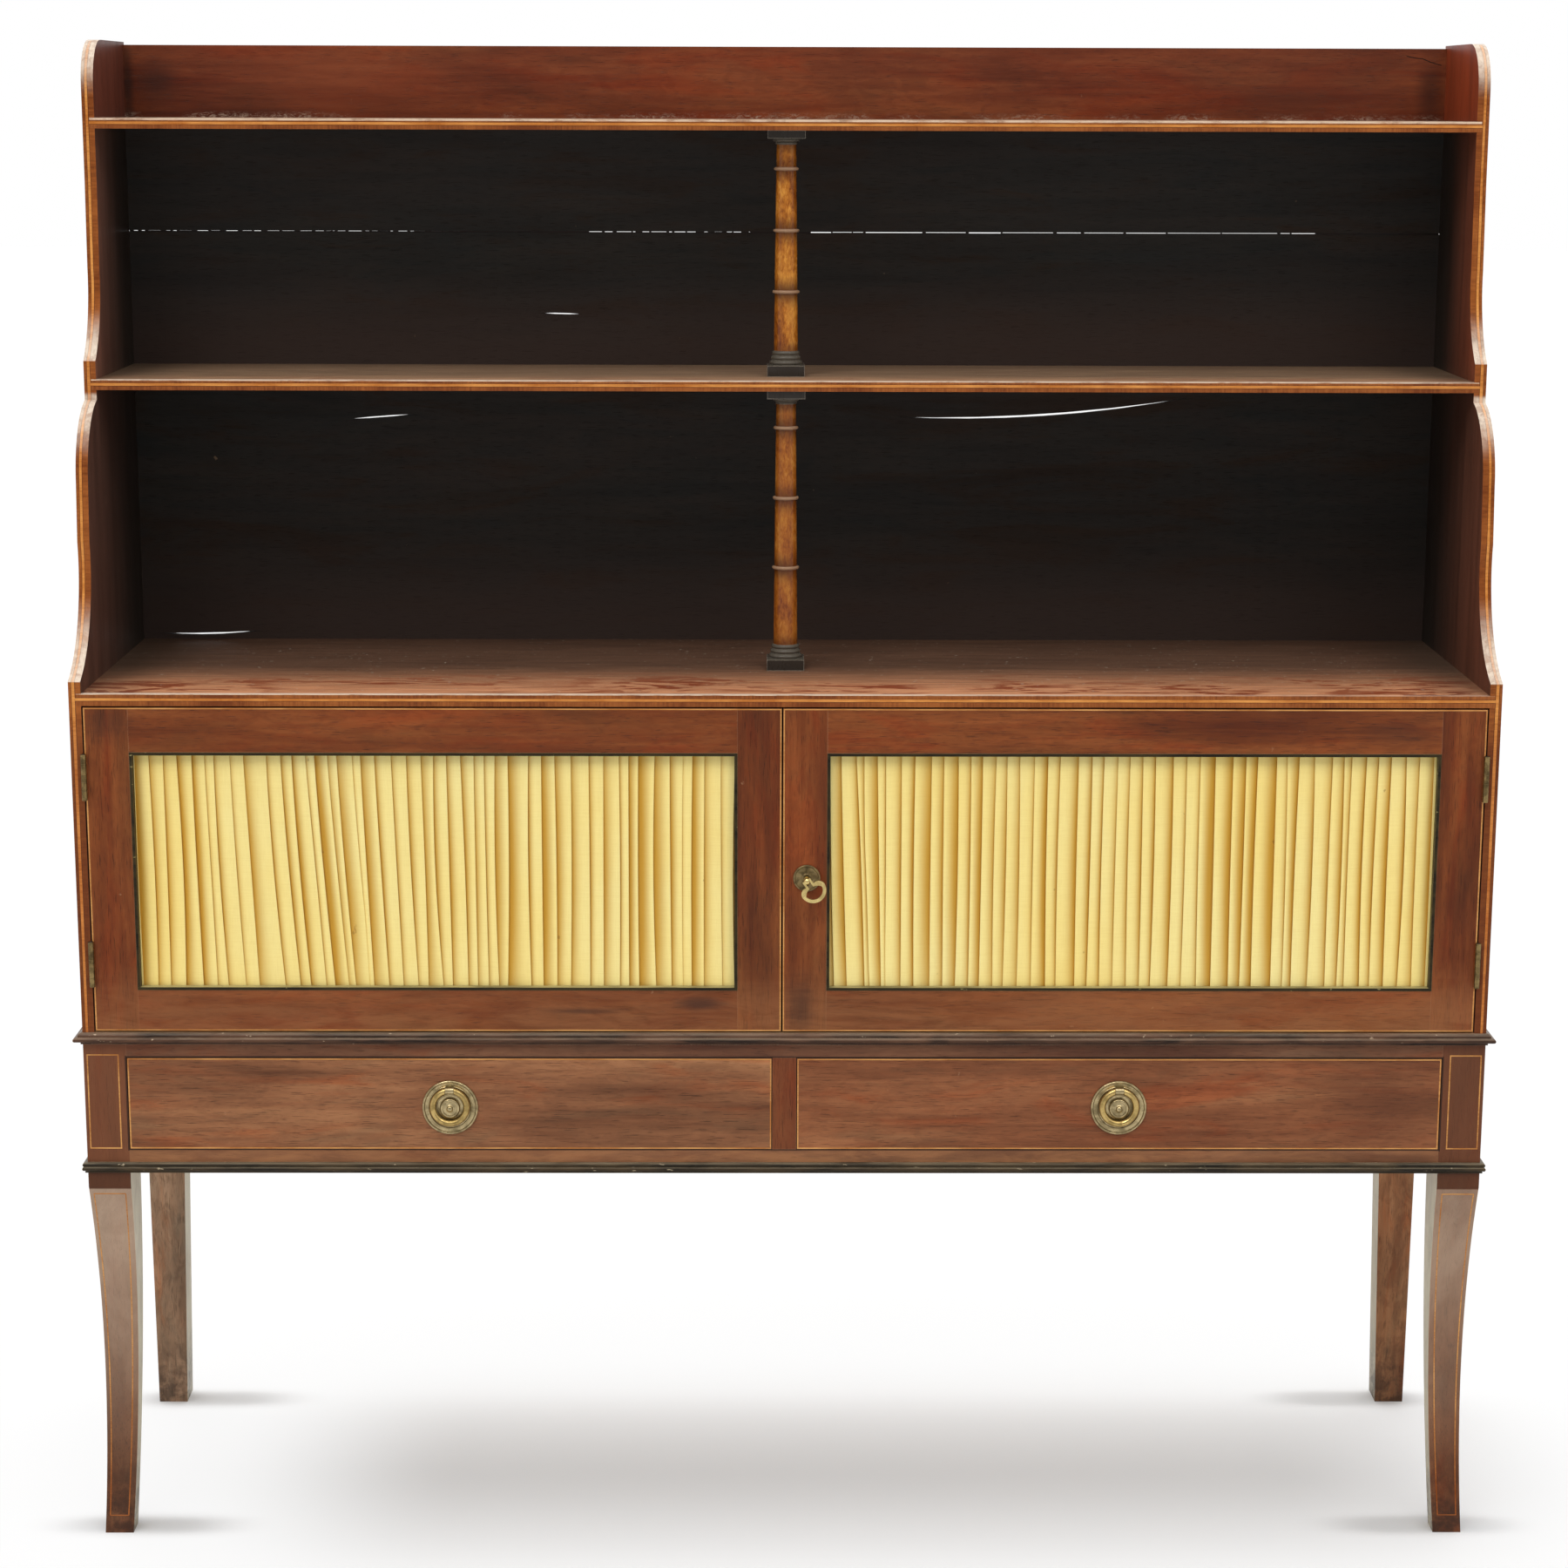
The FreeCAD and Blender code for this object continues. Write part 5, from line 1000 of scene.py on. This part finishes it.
CRACK_POINTS = ((646, 1476.5), (655, 1474.6), (663, 1473.8), (672, 1470.2), (683, 1467.2))   # x, z in mm
CRACK_WIDTH, CRACK_PROUD = 0.9 * MM, 0.05 * MM


def make_crack(material):
    """The crack at the right end of the gallery."""
    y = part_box("gallery_board")[0].y
    points = [Vector((x * MM, y, z * MM)) for x, z in CRACK_POINTS]
    crack = (points, to_front, CRACK_WIDTH, False)
    ribbons("gallery_crack", "case", material, [crack], CRACK_PROUD)


# ------------------------------------------------------------------ gathered silk

PLEAT_STEPS = 8            # columns across a pleat's face
FOLD_STEPS = 4             # and round its outer fold
SILK_ROWS = 16
PLEAT_MEAN, PLEAT_LEAST = 13.4 * MM, 4.5 * MM
PLEAT_FACE = 0.12 * MM     # how far behind the frontmost silk a pleat's face starts
SILK_INSET = 0.5 * MM      # how far the sheet stays inside its CAD solid at each edge,
SILK_FRONT_GAP = 0.35 * MM         # behind its front
SILK_THINNER = 0.8 * MM            # and by how much it is less deep than it


def pleat_edges(rng, width, mean, spread):
    """Where the pleats' outer folds are along one rod, from 0 to width."""
    gaps = []
    while sum(gaps) < width:
        gaps.append(max(0.45 * mean, rng.gauss(mean, spread)))
    scale = width / sum(gaps)
    total, edges = 0.0, [0.0]
    for gap in gaps:
        total += gap * scale
        edges.append(total)
    return edges


def make_silk(side, material, seed, spread, folds_right, lean):
    """One sheet pleated between the rods behind the door: each face is tucked under the next.

    lean is how far the folds' feet lean at most, at which fold, and over how many folds it fades."""
    rng = random.Random(seed)
    low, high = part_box(f"{side}_door_silk")
    left, right = low.x + SILK_INSET, high.x - SILK_INSET
    bottom, top = low.z + SILK_INSET, high.z - SILK_INSET
    front, depth = low.y + SILK_FRONT_GAP, high.y - low.y - SILK_THINNER
    width = right - left
    top_edges = pleat_edges(rng, width, PLEAT_MEAN, spread)
    count = len(top_edges) - 1
    most, peak, span = lean
    pleats = []
    for i in range(count + 1):
        shift = most * math.exp(-((i - peak) / span) ** 2) + rng.gauss(0, 0.45) * spread
        bow = rng.gauss(0, 0.9 * MM)
        deep, tuck = rng.uniform(0.55, 1.0), rng.uniform(1.6, 3.6) * MM
        hollow = rng.choice((0.9, 1.3, 1.8, 2.4))
        pleats.append((top_edges[i], shift, bow, deep, tuck, hollow))

    def edge(i, t):
        """Where fold i is at the height t, 0 at the bottom to 1 at the top."""
        at, shift, bow = pleats[i][:3]
        if i in (0, count):
            return at
        return at + shift * (1 - t) ** 1.2 + bow * math.sin(math.pi * t)

    def row(t):
        xs = [edge(0, t)]
        for i in range(1, count + 1):
            xs.append(max(xs[-1] + PLEAT_LEAST, edge(i, t)))
        scale = width / xs[-1]
        xs = [x * scale for x in xs]
        line = []
        for i in range(count):
            start, end = xs[i], xs[i + 1]
            deep, tuck, hollow = pleats[i][3:]
            tuck = min(tuck, 0.6 * (end - start)) if i + 1 < count else 0.0
            pinch = 0.72 + 0.28 * math.sin(math.pi * min(1.0, max(0.0, t)) ** 0.9)
            floor_depth = depth * (0.35 + 0.6 * deep) * pinch
            reach = end + tuck
            for k in range(PLEAT_STEPS):
                u = k / (PLEAT_STEPS - 1)
                line.append((start + (reach - start) * u, PLEAT_FACE + floor_depth * u ** hollow))
            if i + 1 == count:
                break
            for k in range(1, FOLD_STEPS + 1):
                u = k / FOLD_STEPS
                x = reach - (tuck + 0.35 * MM) * u
                d = floor_depth * (1 - 0.55 * u) - 0.3 * MM * math.sin(math.pi * u)
                line.append((x, max(0.5 * MM, d)))
            line.append((end - 0.45 * MM, 0.32 * MM))
            line.append((end - 0.30 * MM, 0.10 * MM))
        return line

    verts, faces = [], []
    columns = len(row(0.5))
    for r in range(SILK_ROWS):
        t = r / (SILK_ROWS - 1)
        z = bottom + (top - bottom) * t
        for x, d in row(t):
            where = left + x if folds_right else right - x
            verts.append(Vector((min(right, max(left, where)), front + min(d, depth), z)))
    for r in range(SILK_ROWS - 1):
        for c in range(columns - 1):
            a = r * columns + c
            quad = (a, a + 1, a + 1 + columns, a + columns)
            faces.append(quad if folds_right else quad[::-1])
    silk = new_piece(f"{side}_silk", f"{side}_door", verts, faces, material, smooth=True)
    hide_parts(f"{side}_door_silk")


# ------------------------------------------------------------------ the scene

bpy.context.scene.view_settings.view_transform = "Standard"
make_camera()
make_lamps(make_floor())
make_world()
for dress_part in (dress_doors, dress_shelves, dress_case, dress_stand, dress_fittings):
    dress_part()

ORANGE = string_wood("string_orange", rgb(188, 110, 42), rgb(226, 152, 76), 1.0, lowered=1.0)
PALE = string_wood("string_pale", rgb(176, 112, 54), rgb(216, 158, 92), 2.0)
BLACK_LINE = string_wood("string_black", rgb(70, 32, 14), rgb(98, 50, 22), 3.0)
CRACK = string_wood("crack_dark", rgb(30, 18, 14), rgb(46, 26, 20), 4.0, sheen_share=0.0)
make_edge_lines(ORANGE, BLACK_LINE)
make_door_and_drawer_lines(PALE)
make_leg_lines(PALE)
make_joint_filler(CRACK)
make_crack(CRACK)

SILK = silk_cloth()
make_silk("left", SILK, 11, 2.9 * MM, False, (-16.0 * MM, 32, 8))
make_silk("right", SILK, 5, 2.2 * MM, True, (8.0 * MM, 3, 3))
